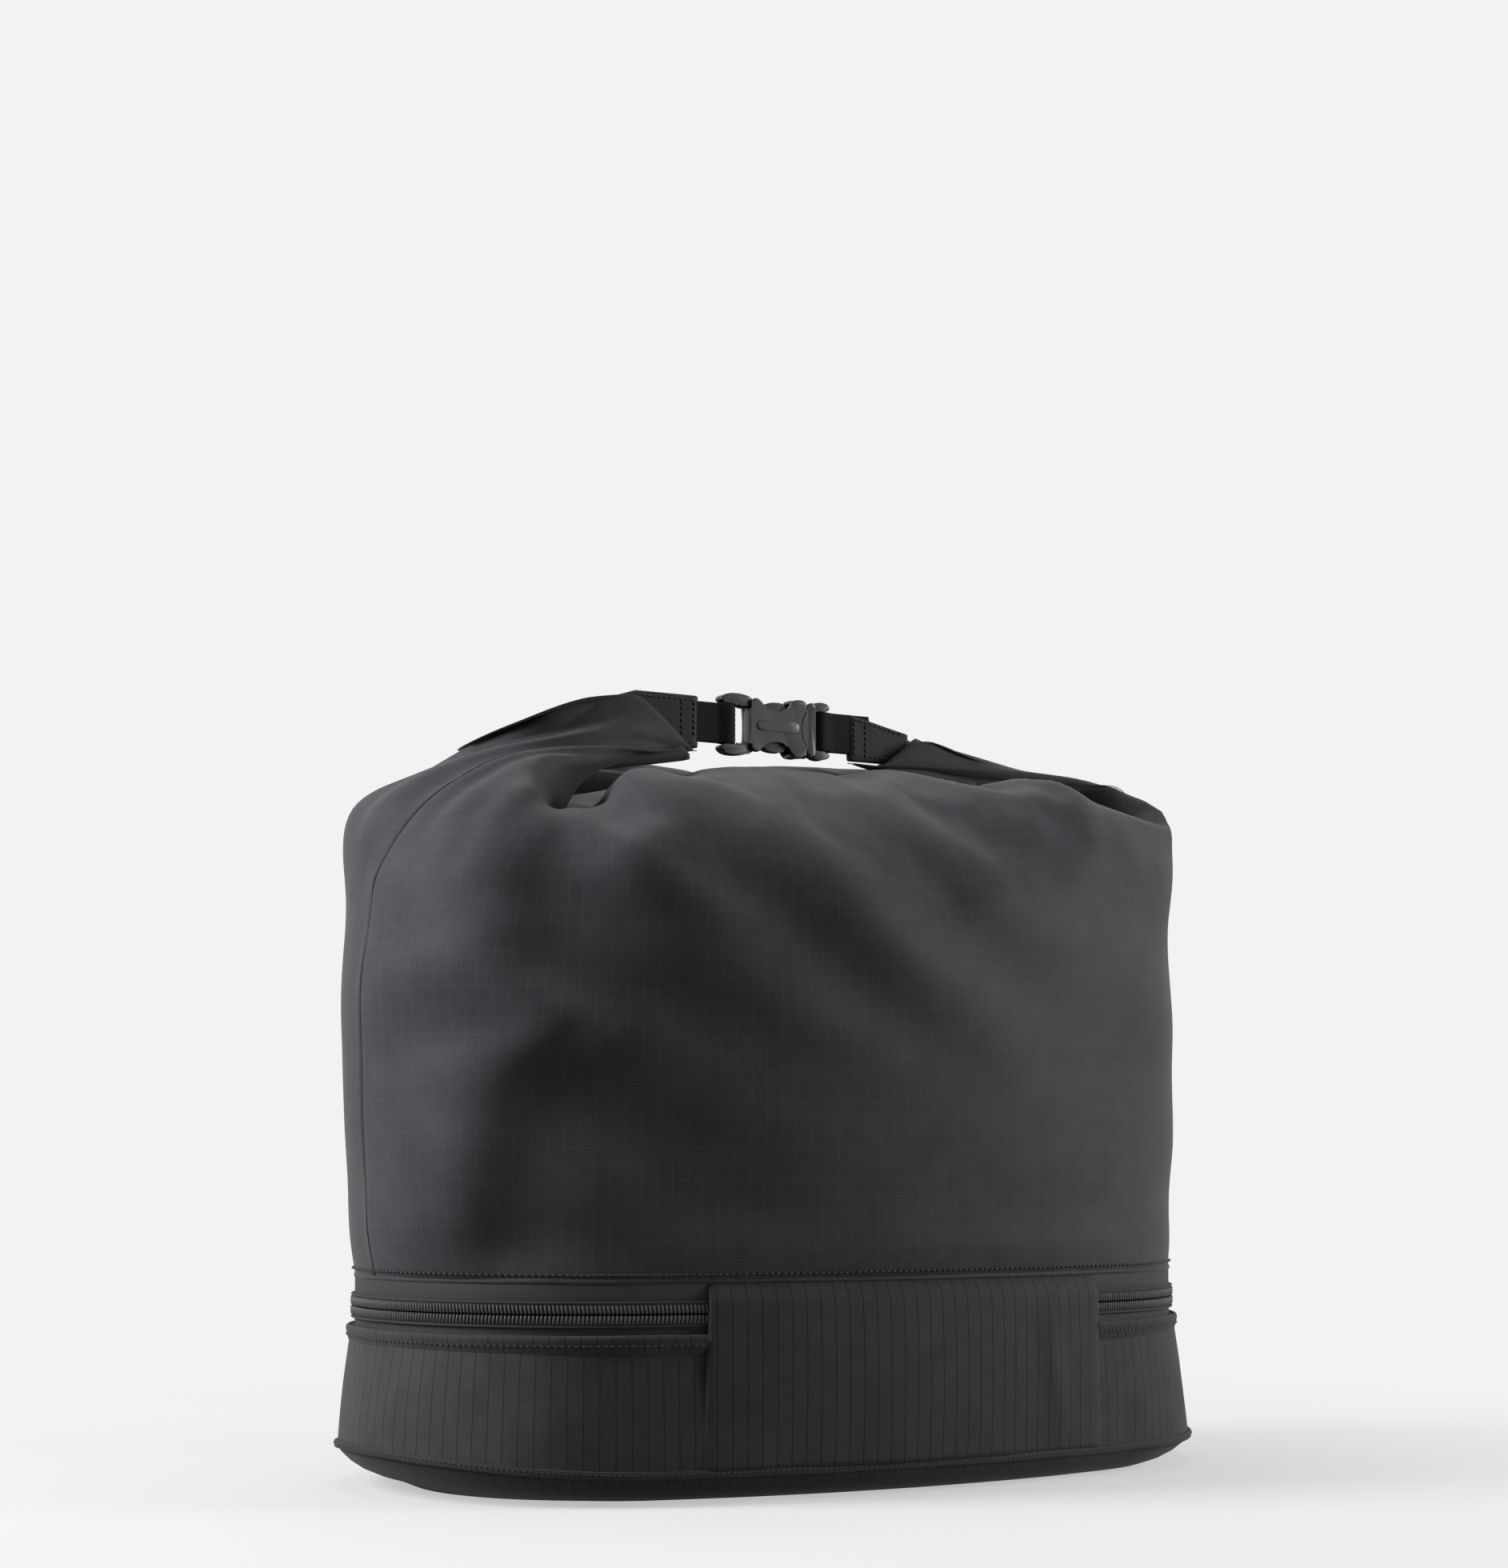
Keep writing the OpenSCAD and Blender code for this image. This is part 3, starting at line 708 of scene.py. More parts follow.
fill_points = []
for (grow, z), (shoulder_grow, shoulder_z) in zip(FILL_ROWS, SHOULDER_ROWS):
    for i in range(FILL_COLUMNS):
        s = i * PERIMETER / FILL_COLUMNS
        peak = near(min(abs(s - (2 * QUARTER - 62)), abs(s - (PERIMETER - 62))), 0, 42)
        (x, y), _ = plan(s, grow + (shoulder_grow - grow) * peak)
        fill_points.append((x, y, z + (shoulder_z - z) * peak))
fill_top = tuple(range(len(fill_points) - FILL_COLUMNS, len(fill_points)))
support("fill", fill_points, tube_faces(FILL_COLUMNS, len(FILL_ROWS)) + [fill_top])
crest_points = []
for x, z in CREST:
    crest_points.append((x, CREST_Y - 10, z - 18))
    for k in range(CREST_SIDES - 2):
        a = math.pi * (0.85 - 0.07 * k)
        crest_points.append((x, CREST_Y + CREST_RADIUS * math.cos(a),
                             z - CREST_RADIUS + CREST_RADIUS * math.sin(a)))
    crest_points.append((x, CREST_Y + 10, z - 18))
crest_ends = [tuple(range(CREST_SIDES)),
              tuple(reversed(range(len(crest_points) - CREST_SIDES, len(crest_points))))]
support("crest", crest_points, tube_faces(CREST_SIDES, len(CREST)) + crest_ends)
for x, y, z, radius in BALLS:
    ball = bmesh.new()
    bmesh.ops.create_icosphere(ball, subdivisions=3, radius=radius)
    ball.verts.index_update()
    support("shoulder", [(x + v.co.x, y + v.co.y, z + v.co.z) for v in ball.verts],
            [tuple(v.index for v in face.verts) for face in ball.faces])
    ball.free()

cloth = tube.modifiers.new("cloth", "CLOTH")
cloth.settings.quality = 6
cloth.settings.mass = 0.15
cloth.settings.tension_stiffness = 15
cloth.settings.compression_stiffness = 15
cloth.settings.shear_stiffness = 5
cloth.settings.bending_stiffness = 0.25
cloth.settings.tension_damping = 10
cloth.settings.compression_damping = 10
cloth.settings.shear_damping = 10
cloth.settings.bending_damping = 1
cloth.settings.air_damping = 2
cloth.settings.vertex_group_mass = "held"
cloth.settings.rest_shape_key = tube.data.shape_keys.key_blocks["open"]
cloth.settings.use_pressure = True
cloth.settings.uniform_pressure_force = 0.25
cloth.settings.effector_weights.gravity = 0.3
cloth.collision_settings.use_collision = True
cloth.collision_settings.use_self_collision = True
cloth.collision_settings.distance_min = 0.015
cloth.collision_settings.self_distance_min = 0.015
cloth.collision_settings.self_friction = 5
cloth.collision_settings.collision_quality = 3
cloth.point_cache.frame_end = SETTLED
scene.frame_end = SETTLED
for moment in range(1, SETTLED + 1):
    scene.frame_set(moment)
settled = tube.evaluated_get(bpy.context.evaluated_depsgraph_get())
sack_points = [Vector(v.co) * 1000 / SIM for v in settled.data.vertices]
scene.frame_set(1)
for obj in supports + [tube]:
    bpy.data.objects.remove(obj)

# Above the shoulder row the cloth at the two ends is drawn tight to the bends of the roll. Each guide is a
# distance from the side seam and three points that the cloth passes on its way up to the roll.
SHOULDER_ROW = 24
GUIDE_REACH = 160
GUIDE_FADE = 35
GUIDE_STEPS = 12
LEFT_GUIDES = [(-150, (-134, 110, 312), (-138, 92, 332), (-141, 75, 345)),
               (-100, (-183, 91, 316), (-176, 60, 336), (-162, 30, 350)),
               (-62, (-207, 61, 319), (-184, 40, 336), (-150, 8, 353)),
               (-25, (-210, 18, 318), (-176, -4, 342), (-128, -19, 355)),
               (0, (-200, -12, 312), (-168, -21, 338), (-115, -22, 349)),
               (25, (-192, -30, 316), (-155, -30, 341), (-108, -25, 346)),
               (45, (-186, -46, 318), (-152, -41, 338), (-118, -20, 336)),
               (65, (-178, -61, 314), (-165, -59, 322), (-138, -24, 312)),
               (90, (-167, -76, 297), (-159, -65, 308), (-138, -18, 296)),
               (125, (-147, -90, 298), (-140, -68, 318), (-124, -22, 294)),
               (160, (-119, -104, 312), (-114, -66, 335), (-112, -15, 308))]
RIGHT_GUIDES = [(-160, (122, -104, 312), (117, -66, 338), (115, -15, 312)),
                (-125, (152, -96, 308), (143, -70, 335), (130, -25, 312)),
                (-90, (180, -80, 308), (172, -66, 330), (150, -12, 310)),
                (-62, (205, -62, 314), (203, -58, 326), (168, 2, 306)),
                (-35, (210, -42, 322), (207, -50, 338), (170, 6, 312)),
                (-15, (211, -22, 328), (202, -40, 345), (160, 0, 326)),
                (0, (213, -6, 326), (196, -31, 349), (155, -17, 350)),
                (12, (214, 8, 325), (192, -24, 350), (152, -17, 356)),
                (40, (208, 40, 322), (188, 5, 345), (150, -8, 357)),
                (75, (192, 74, 318), (176, 40, 340), (154, 15, 355)),
                (110, (168, 97, 316), (158, 72, 336), (152, 40, 350)),
                (150, (134, 110, 312), (138, 92, 332), (141, 75, 345))]


def through(a, b, c, d, t):
    """Point at share t between b and c on a smooth curve through four points."""
    return 0.5 * (2 * b + (c - a) * t + (2 * a - 5 * b + 4 * c - d) * t * t
                  + (3 * b - a - 3 * c + d) * t ** 3)


for i in range(count):
    s = sack_columns[i][2]
    for middle, guides in ((0, LEFT_GUIDES), (2 * QUARTER, RIGHT_GUIDES)):
        away = (s - middle + 2 * QUARTER) % PERIMETER - 2 * QUARTER
        share = eased((GUIDE_REACH - abs(away)) / GUIDE_FADE)
        if share == 0:
            continue
        spot = max(k for k in range(len(guides) - 1) if k == 0 or guides[k][0] <= away)
        part = clamp((away - guides[spot][0]) / (guides[spot + 1][0] - guides[spot][0]))
        stops = [sack_points[(SHOULDER_ROW - 4) * count + i], sack_points[SHOULDER_ROW * count + i]]
        for k in (1, 2, 3):
            stops.append(Vector(guides[spot][k]).lerp(Vector(guides[spot + 1][k]), part))
        last = sack_points[SACK_ROWS * count + i]
        stops += [last, 2 * last - stops[-1]]
        path = []
        for k in range(len(stops) - 3):
            path += [through(*stops[k:k + 4], t / GUIDE_STEPS) for t in range(GUIDE_STEPS)]
        path.append(last)
        length = [0.0]
        for a, b in zip(path, path[1:]):
            length.append(length[-1] + (b - a).length)
        slack = cloth_height(*sack_columns[i][:2]) * (1 - SHOULDER_ROW / SACK_ROWS) / length[-1]
        for j in range(SHOULDER_ROW, SACK_ROWS):
            t = (j - SHOULDER_ROW) / (SACK_ROWS - SHOULDER_ROW)
            along = length[-1] * (1 - (1 - t) ** max(1.0, min(2.0, slack)))
            k = max(n for n in range(len(path) - 1) if length[n] <= along)
            point = path[k].lerp(path[k + 1], (along - length[k]) / (length[k + 1] - length[k]))
            sack_points[j * count + i] = sack_points[j * count + i].lerp(point, share)

# The small wrinkles of the simulation are smoothed, most of all low down and in the pocket by the left arm.
SMOOTH_TURNS = 4
for turn in range(SMOOTH_TURNS):
    before = [p.copy() for p in sack_points]
    for j in range(2, SACK_ROWS - 1):
        for i in range(count):
            here = before[j * count + i]
            calm = 0.5 * max(0.25, near(sack_columns[i][2], 112, 38), min(1.0, (296 - here.z) / 60))
            left = before[j * count + (i - 1) % count]
            right = before[j * count + (i + 1) % count]
            mean = (left + right + before[(j - 1) * count + i] + before[(j + 1) * count + i]) / 4
            sack_points[j * count + i] = here.lerp(mean, calm)


def front_folds(s, z):
    """Soft folds of the front: bunched at both corners, and slanting down across the middle."""
    bunch = near(s, 120, 75) + 0.7 * near(s, 480, 70) + 0.35
    soft = 4.6 * bunch * ripple(s * 0.62 + z * 0.28, z * 1.15, 0, 58, 40.0)
    slant = (s - 190) * 0.62 + (z - 300) * 0.78
    reach = near(s, 250, 90) * near(z, 262, 52)
    return soft + 4.2 * reach * math.sin(2 * math.pi * slant / 66 + 0.8 * ripple(s, z, 0, 70, 11.0))


def corner_ridge(s, z):
    """The wavy ridge at the left front corner, steeper on its front side."""
    line = 76 + 36 * near(z, 214, 17) + 9 * ripple(z, 0, 0, 30, 3.0) - 14 * clamp((185 - z) / 60)
    return 9.5 * near(s, line, 46 if s < line else 20) * clamp((316 - z) / 36)


def pocket_crease(s, z):
    """The crease below the left arm: the cloth is tucked in above it and swells a little below it."""
    over = 0.87 * (z - 326 + 0.56 * (s - 86))
    tuck = near(s, 125, 70) * clamp((s - 40) / 50)
    if over > 0:
        return -7 * tuck * (1 - math.exp(-over / 7)) * math.exp(-over / 45)
    return 2.5 * tuck * near(over, 0, 14)


def end_belly(s, z):
    """How far the filling swells the two ends of the sack."""
    rise = math.sin(math.pi * clamp((z - SACK_FOOT) / 230)) ** 0.8
    return (9.5 * near(min(s, PERIMETER - s), 0, 80) + 6 * near(s, 2 * QUARTER, 70)) * rise


def drawn_creases(s, z):
    """Fine creases in the cloth that is drawn up over the left shoulder."""
    wave = math.sin(2 * math.pi * s / 28 + 2 * ripple(s, z, 0, 60, 7.0))
    return 1.8 * wave * near(min(s, PERIMETER - s), 0, 80) * clamp((z - 290) / 30)


flat_points = [p.copy() for p in sack_points]
for j in range(2, SACK_ROWS - 2):
    for i in range(count):
        here = flat_points[j * count + i]
        run = flat_points[j * count + (i + 1) % count] - flat_points[j * count + (i - 1) % count]
        rise = flat_points[(j + 1) * count + i] - flat_points[(j - 1) * count + i]
        s = sack_columns[i][2]
        z = here.z
        calm = clamp((332 - z) / 30) * min(1.0, (z - SACK_FOOT) / 26)
        fold = front_folds(s, z) + corner_ridge(s, z) + pocket_crease(s, z)
        out = fold * calm + end_belly(s, z) + drawn_creases(s, z)
        sack_points[j * count + i] = here + run.cross(rise).normalized() * out
for i in range(count):
    sack_points[count + i] = (sack_points[i] + sack_points[2 * count + i]) / 2

for side, node, first in (("front", "sack_front_panel", 0), ("back", "sack_back_panel", SACK_COLUMNS)):
    half_points = []
    half_uvs = []
    for j in range(SACK_ROWS + 1):
        for i in range(SACK_COLUMNS + 1):
            k = j * count + (first + i) % count
            half_points.append(sack_points[k])
            half_uvs.append((first * 7 + 2 * QUARTER * i / SACK_COLUMNS, cloth_up[k]))
    half = sheet("sack_" + side + "_cloth", half_points, SACK_COLUMNS + 1, sack_cloth, half_uvs)
    finer = half.modifiers.new("finer", "SUBSURF")
    finer.levels = 1
    finer.render_levels = 1
    thicken(half, SACK_CLOTH)
    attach(half, "upper")
    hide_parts(node)


# Lower edge of the sack
# The sack's ripstop turned up over the upper zip tape and the front panel, and topstitched with one row of
# thread all round.
HEM_SECTION = [(-3.1, 2.7), (-2.1, 1.9), (-1.7, 0.8), (-1.95, 0.0), (-2.6, -0.3), (-3.3, 0.2), (-3.6, 2.0),
               (-3.9, 3.6), (-3.6, 3.7)]
HEM_STITCH_HEIGHT = 101.4
hem_cloth = woven("nylon_ripstop_hem", "#3b3c3f", "#46474a", RIPSTOP_GRID, RIPSTOP_LINE, "plain", 0.5, 0.9)
hem_edge = []
for i in range(AROUND):
    (x, y), normal = plan(i * PERIMETER / AROUND)
    hem_edge.append(((x, y, 97.4 + 0.4 * ripple(x, y, 0, 36, 21.0)), normal))
hem = sweep("sack_lower_edge", HEM_SECTION, hem_edge, hem_cloth, PERIMETER / AROUND, loop=True)
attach(hem, "upper")
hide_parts("sack_hem")
hem_path = []
for i in range(count + 1):
    low = sack_points[i % count]
    high = sack_points[count + i % count]
    out = Vector(plan(sack_columns[i % count][2])[1] + (0,))
    hem_path.append((low.lerp(high, (HEM_STITCH_HEIGHT - low.z) / (high.z - low.z)) + out * 0.55, out))
stitch_row("sack_edge_stitches", hem_path, TOP_STITCH, "upper", thread_dark, 0.5)


# Floor between the sack and the base
# One flat oval of the sack's ripstop, sewn into the lower edge, that closes the sack towards the base
# compartment.
FLOOR_HEIGHT = 98.3
FLOOR_INSET = -3.4
FLOOR_CLOTH = 1.0
floor_points = [plan(i * PERIMETER / AROUND, FLOOR_INSET)[0] for i in range(AROUND)]
oval = bmesh.new()
bmesh.ops.create_circle(oval, cap_ends=True, segments=AROUND, radius=1)
for vert, (x, y) in zip(oval.verts, floor_points):
    vert.co = [c / 1000 for c in (x, y, FLOOR_HEIGHT)]
divider = piece("sack_floor_cloth", oval, sack_cloth, floor_points, smooth=False)
thicken(divider, FLOOR_CLOTH)
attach(divider, "upper")
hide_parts("sack_floor")


# Side seams of the sack
# The two panels are sewn together, their edges turned in, from the lower edge up to the tab at each end of
# the hem. Only a fine raised line of cloth shows.
SEAM_RADIUS = 0.25
SEAM_SIDES = 8
# Ripstop pulled tight over a seam is a little duller than the open cloth.
seam_cloth = plain("nylon_seam", "#3c3d40", 0.55, 0.2, 0.0, 0.4, 0.625)


def curve(points, steps):
    """Smooth open line through points."""
    line = []
    for j in range(len(points) - 1):
        ends = (points[max(0, j - 1)], points[j], points[j + 1], points[min(len(points) - 1, j + 2)])
        line += [through(*ends, k / steps) for k in range(steps)]
    return line + [points[-1]]


for side, column in (("left", 0), ("right", SACK_COLUMNS)):
    line = curve([sack_points[j * count + column] for j in range(SACK_ROWS + 1)], 3)
    seam_points = []
    for j, point in enumerate(line):
        along = (line[min(len(line) - 1, j + 1)] - line[max(0, j - 1)]).normalized()
        across = along.cross(Vector((0, 1, 0.01))).normalized()
        up = along.cross(across)
        for k in range(SEAM_SIDES):
            a = 2 * math.pi * k / SEAM_SIDES
            seam_points.append(point + SEAM_RADIUS * (across * math.cos(a) + up * math.sin(a)))
    seam = sheet("side_seam_" + side, seam_points, SEAM_SIDES, seam_cloth, ring=True, caps=(0, -1))
    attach(seam, "upper")


# Rolled mouth
# The two panels' upper edges rolled together and bent round into a hoop. At each end the roll is folded over
# on the slant, and the stiff tab of the hem comes out of the fold.
ROLL_SECTION = [(3.4, -2.0), (4.6, 0.5), (5.2, 4.5), (5.2, 8.5), (5.0, 10.6), (5.2, 12.6), (5.6, 17.0),
                (5.9, 22.0), (5.4, 25.6), (4.4, 27.0), (3.5, 26.4), (3.0, 23.0), (2.9, 12.0), (2.9, 3.2),
                (0.0, 2.6), (-2.9, 3.2), (-2.9, 12.0), (-3.0, 23.2), (-3.6, 26.8), (-4.5, 27.3),
                (-5.6, 25.4), (-6.4, 20.5), (-6.3, 16.0), (-5.3, 13.6), (-6.1, 11.4), (-6.2, 5.0),
                (-5.2, 0.6), (-3.2, -2.0)]
ROLL_STEPS = 260
ROLL_TALL = 27
roll_points = []
roll_uvs = []
for i in range(ROLL_STEPS):
    pinch = 0.62 + 0.38 * min(1.0, min(i, ROLL_STEPS - 1 - i) / 7)
    for k, (off, up) in enumerate(ROLL_SECTION):
        v = clamp(up / ROLL_TALL)
        left_end = -(1 - (5.5 + 32 * v) / HOOP_LENGTH)
        right_end = 1 - (15 + 24 * v) / HOOP_LENGTH
        u = left_end + (right_end - left_end) * i / (ROLL_STEPS - 1)
        (x, y), normal = hoop(u)
        z = roll_height(u)
        up += v * roll_rise(u)
        soft = 0.8 * ripple(x, y, z + up * 0.4, 26, 4.0) + 0.5 * ripple(x, y, z + up, 11, 9.0)
        side = 1 if off > 0 else -1
        if abs(off) > 4.3:
            off += side * soft
        if abs(off) > 3.3:
            off = side * (3.0 + (abs(off) - 3.0) * pinch)
        roll_points.append((x + normal[0] * off, y + normal[1] * off, z + up + 0.7 * soft * v))
        roll_uvs.append((u * HOOP_LENGTH, up + ROLL_TALL * k))
roll = sheet("rolled_mouth", roll_points, len(ROLL_SECTION), sack_cloth, roll_uvs, ring=True, caps=(0, -1))
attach(roll, "upper")
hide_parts("mouth_roll")


# Tabs
# The stiff ends of the hem, layers of ripstop stitched flat in a box of thread, each with the strap's webbing
# sewn into it.
STRAP_Z = 368.75
STRAP_Y = -5.0
TAB_Z = STRAP_Z - 0.5
TAB_COLUMNS = 36
TAB_STITCH = 3.0
TAB_RIM = (0.55, 0.88, 1.0)
tab_cloth = woven("nylon_ripstop_tab", "#333437", "#3c3d40", RIPSTOP_GRID, RIPSTOP_LINE, "plain", 0.5, 0.9)
tab_section = round_section((-2.2, -13.1), (2.2, 13.1), 1.4)
for side, x0, x1, body in (("left", -107.5, -49.0, "upper"), ("right", 40.0, 76.0, "strap_end")):
    tab_points = []
    tab_uvs = []
    for i in range(TAB_COLUMNS):
        x = x0 + (x1 - x0) * i / (TAB_COLUMNS - 1)
        rim = min(i, TAB_COLUMNS - 1 - i)
        for off, up in tab_section:
            puff = 1 + 0.1 * ripple(x, up, 0, 9, 31.0)
            if up > 0:
                up *= 1 - max(0.0, -84 - x) / 42 if side == "left" else 0.83 - (x - x0) / 60
            thick = off * TAB_RIM[min(2, rim)] * puff
            tab_points.append((x, STRAP_Y + thick, TAB_Z + up * (1 if rim else 0.985)))
            tab_uvs.append((x, up))
    tab = sheet("hem_tab_" + side + "_cloth", tab_points, len(tab_section), tab_cloth, tab_uvs, ring=True,
                caps=(0, -1))
    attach(tab, body)
    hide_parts("hem_tab_" + side)
    inner, step, top, fall = (x1, -1, 10.6, 0.0) if side == "left" else (x0, 1, 8.4, 0.2)
    rows = [[(inner + step * (2.4 + 3 * k), top - fall * 3 * k) for k in range(11)],
            [(inner + step * (2.4 + 3 * k), -10.6) for k in range(11)]]
    for far in (2.6, 9.5):
        rows.append([(inner + step * far, top - 0.2 - fall * far - 1.9 * k) for k in range(11)])
    for r, row in enumerate(rows):
        for face, facing in ((-1, "front"), (1, "back")):
            path = [((x, STRAP_Y + face * 2.3, TAB_Z + up), (0, face, 0)) for x, up in row]
            stitch_row("tab_%s_stitches_%d_%s" % (side, r, facing), path, TAB_STITCH, body,
                       thread_dark, 0.42)


# Webbing
# 20 mm strap of woven nylon, doubled round the bar of each half of the buckle and sewn into the tab. Its
# columns of weave stand out as ribs across the strap.
WEB_WIDTH = 20
WEB_COLUMN = 1.25
WEB_RELIEF = 0.17
WEB_HALF = 0.62
WEB_ACROSS = 34
WEB_STEP = 0.36
# Close-woven nylon, dark and dull, with a grain of about half a millimetre.
webbing_nylon = plain("nylon_webbing", "#18181b", 0.72, 0.1, 0.0, 0.4, 0.45455)
for side, tab_x, bar_x, body, rib in (("left", -61.0, -31.0, "upper", 1.9),
                                      ("right", 52.0, 23.5, "strap_end", 1.25)):
    way = 1 if bar_x > tab_x else -1
    front_half = [(tab_x, -0.85), (tab_x + way * 8, -0.85), (bar_x - way * 8, -0.95),
                  (bar_x - way * 4.5, -1.7), (bar_x - way * 1.8, -2.75), (bar_x + way * 0.4, -3.0),
                  (bar_x + way * 2.4, -1.9)]
    back_half = [(x, -y) for x, y in reversed(front_half)]
    coarse = curve([Vector((x, y, 0)) for x, y in front_half + [(bar_x + way * 3.0, 0)] + back_half], 24)
    path = [coarse[0]]
    gone = 0.0
    for a, b in zip(coarse, coarse[1:]):
        gone += (b - a).length
        if gone > WEB_STEP:
            path.append(b)
            gone = 0.0
    web_points = []
    travelled = 0.0
    for k, point in enumerate(path):
        ahead = (path[min(len(path) - 1, k + 1)] - path[max(0, k - 1)]).normalized()
        normal = Vector((ahead.y, -ahead.x, 0))
        if k:
            travelled += (point - path[k - 1]).length
        for layer in (1, -1):
            for q in range(WEB_ACROSS):
                w = q / (WEB_ACROSS - 1) if layer > 0 else 1 - q / (WEB_ACROSS - 1)
                phase = math.pi * math.floor(w * WEB_WIDTH / WEB_COLUMN)
                relief = WEB_RELIEF * math.cos(2 * math.pi * travelled / rib + phase)
                relief *= 1 if 0.03 < w < 0.97 else 0
                half = WEB_HALF - 0.3 * max(0.0, abs(2 * w - 1) - 0.94) / 0.06
                spot = point + normal * layer * (half + relief)
                web_points.append((spot.x, STRAP_Y + spot.y, STRAP_Z - WEB_WIDTH / 2 + WEB_WIDTH * w))
    web = sheet("webbing_" + side + "_weave", web_points, 2 * WEB_ACROSS, webbing_nylon, ring=True,
                caps=(0, -1))
    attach(web, body)
    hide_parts("webbing_" + side)


# Buckle
# A side-release buckle moulded in black acetal. The socket holds the left webbing, the plug the right one,
# and two sprung prongs of the plug show in the windows at the top and bottom of the socket.
BUCKLE_X = -4.5
BAR_RADIUS = 2.0
SOCKET_HALF = [(-15, 0), (-15.2, 6), (-15.6, 10.5), (-14.2, 13.3), (-11.4, 13.2), (-9.3, 11.0), (-6, 8.7),
               (-1, 7.8), (4, 8.5), (6.7, 10.8), (8.3, 13.6), (10.6, 14.3), (14.8, 14.3), (16.6, 12.8),
               (16.3, 9.2), (14.2, 5.2), (13.2, 0)]
SOCKET_RIDGE = [(-12.5, 0), (-11.6, 2.2), (-6, 2.6), (2, 2.4), (9, 2.9), (11.4, 2.0), (11.9, 0)]
SOCKET_ARM = [(-14, 10.4), (-13.6, 13.2), (-19, 15.0), (-26, 15.3), (-31, 13.9), (-32.2, 11.8), (-29.6, 10.5),
              (-23, 10.3), (-18, 8.6)]
PLUG_HALF = [(13.8, 0), (14.8, 5.0), (17.0, 9.4), (17.6, 12.6), (19, 13.5), (21.6, 13.2), (22, 9), (22, 0)]
PLUG_ARM = [(20.6, 9.4), (20.8, 13.2), (26, 14.6), (30.4, 13.8), (32, 12.0), (30, 10.4), (25, 10.2)]
PRONG = [(17.0, 6.7), (17.0, 8.9), (9.2, 8.9), (7.0, 9.8), (5.2, 11.7), (2, 12.5), (-3, 12.3), (-6.8, 11.0),
         (-7.9, 9.2), (-6.6, 7.8), (0, 6.9), (8, 6.6)]
# Acetal comes out of the mould with a smooth, half-gloss face and the finest grain.
acetal = plain("acetal_moulded", "#131315", 0.3, 0.5, 0.0, 0.25, 0.38462)


def ring_line(points, steps=4):
    """Smooth closed outline through points."""
    line = []
    for j in range(len(points)):
        ends = [Vector(points[(j + k) % len(points)] + (0,)) for k in (-1, 0, 1, 2)]
        line += [through(*ends, k / steps).xy[:] for k in range(steps)]
    return line


def mirrored(half):
    """Outline from its upper half, which starts and ends on the middle line."""
    return half + [(x, -z) for x, z in reversed(half[1:-1])]


def block(x0, x1, z0, z1):
    """Outline of a plain rectangle."""
    return [(x0, z0), (x1, z0), (x1, z1), (x0, z1)]


def in_buckle(x, y, z):
    """Place in metres of a point given in mm from the middle of the buckle."""
    return Vector(((BUCKLE_X + x) / 1000, (STRAP_Y + y) / 1000, (STRAP_Z + z) / 1000))


def slab(bm, outline, y0, y1, bevel, place):
    """Adds a plate with that (x, z) outline between two depths, its edges rounded."""
    low = [bm.verts.new(place(x, y0, z)) for x, z in outline]
    high = [bm.verts.new(place(x, y1, z)) for x, z in outline]
    n = len(outline)
    caps = [bm.faces.new(low), bm.faces.new(list(reversed(high)))]
    for k in range(n):
        bm.faces.new((low[k], high[k], high[(k + 1) % n], low[(k + 1) % n]))
    edges = [e for cap in caps for e in cap.edges]
    bmesh.ops.bevel(bm, geom=edges, offset=bevel / 1000, offset_type="OFFSET", segments=3, profile=0.5,
                    affect="EDGES", clamp_overlap=True, material=-1)


def rod(bm, x, y, radius, half, place):
    """Adds an upright round bar that reaches half its length up and down."""
    bmesh.ops.create_cone(bm, cap_ends=True, segments=20, radius1=radius / 1000, radius2=radius / 1000,
                          depth=2 * half / 1000, matrix=Matrix.Translation(place(x, y, 0)))


def moulded(name, bm, material, body, node):
    """Makes a piece with flat faces and round edges that stands for a node."""
    bmesh.ops.recalc_face_normals(bm, faces=bm.faces)
    obj = piece(name, bm, material)
    obj.data.set_sharp_from_angle(angle=math.radians(32))
    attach(obj, body)
    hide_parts(node)


socket = bmesh.new()
for face in (-1, 1):
    slab(socket, ring_line(mirrored(SOCKET_HALF)), face * 3.45, face * 5.5, 0.7, in_buckle)
    slab(socket, ring_line(mirrored(SOCKET_RIDGE)), face * 5.2, face * 6.1, 0.75, in_buckle)
    slab(socket, block(8.4, 16.3, face * 12.95, face * 14.2), -3.6, 3.6, 0.4, in_buckle)
    slab(socket, ring_line([(x, face * z) for x, z in SOCKET_ARM]), -3.3, 3.3, 0.9, in_buckle)
slab(socket, block(-15.2, -11.6, -12.6, 12.6), -3.6, 3.6, 0.5, in_buckle)
rod(socket, -26.5, 0, BAR_RADIUS, 12, in_buckle)
moulded("socket_moulding", socket, acetal, "upper", "buckle_socket")
plug = bmesh.new()
for face in (-1, 1):
    slab(plug, ring_line(mirrored(PLUG_HALF)), face * 3.2, face * 5.3, 0.6, in_buckle)
    slab(plug, ring_line([(x, face * z) for x, z in PLUG_ARM]), -3.2, 3.2, 0.9, in_buckle)
slab(plug, block(17.5, 21.9, -13.0, 13.0), -3.4, 3.4, 0.4, in_buckle)
slab(plug, block(-6.8, 18, -1.9, 1.9), -1.4, 1.4, 0.4, in_buckle)
rod(plug, 28, 0, BAR_RADIUS, 12, in_buckle)
moulded("plug_moulding", plug, acetal, "strap_end", "buckle_plug")
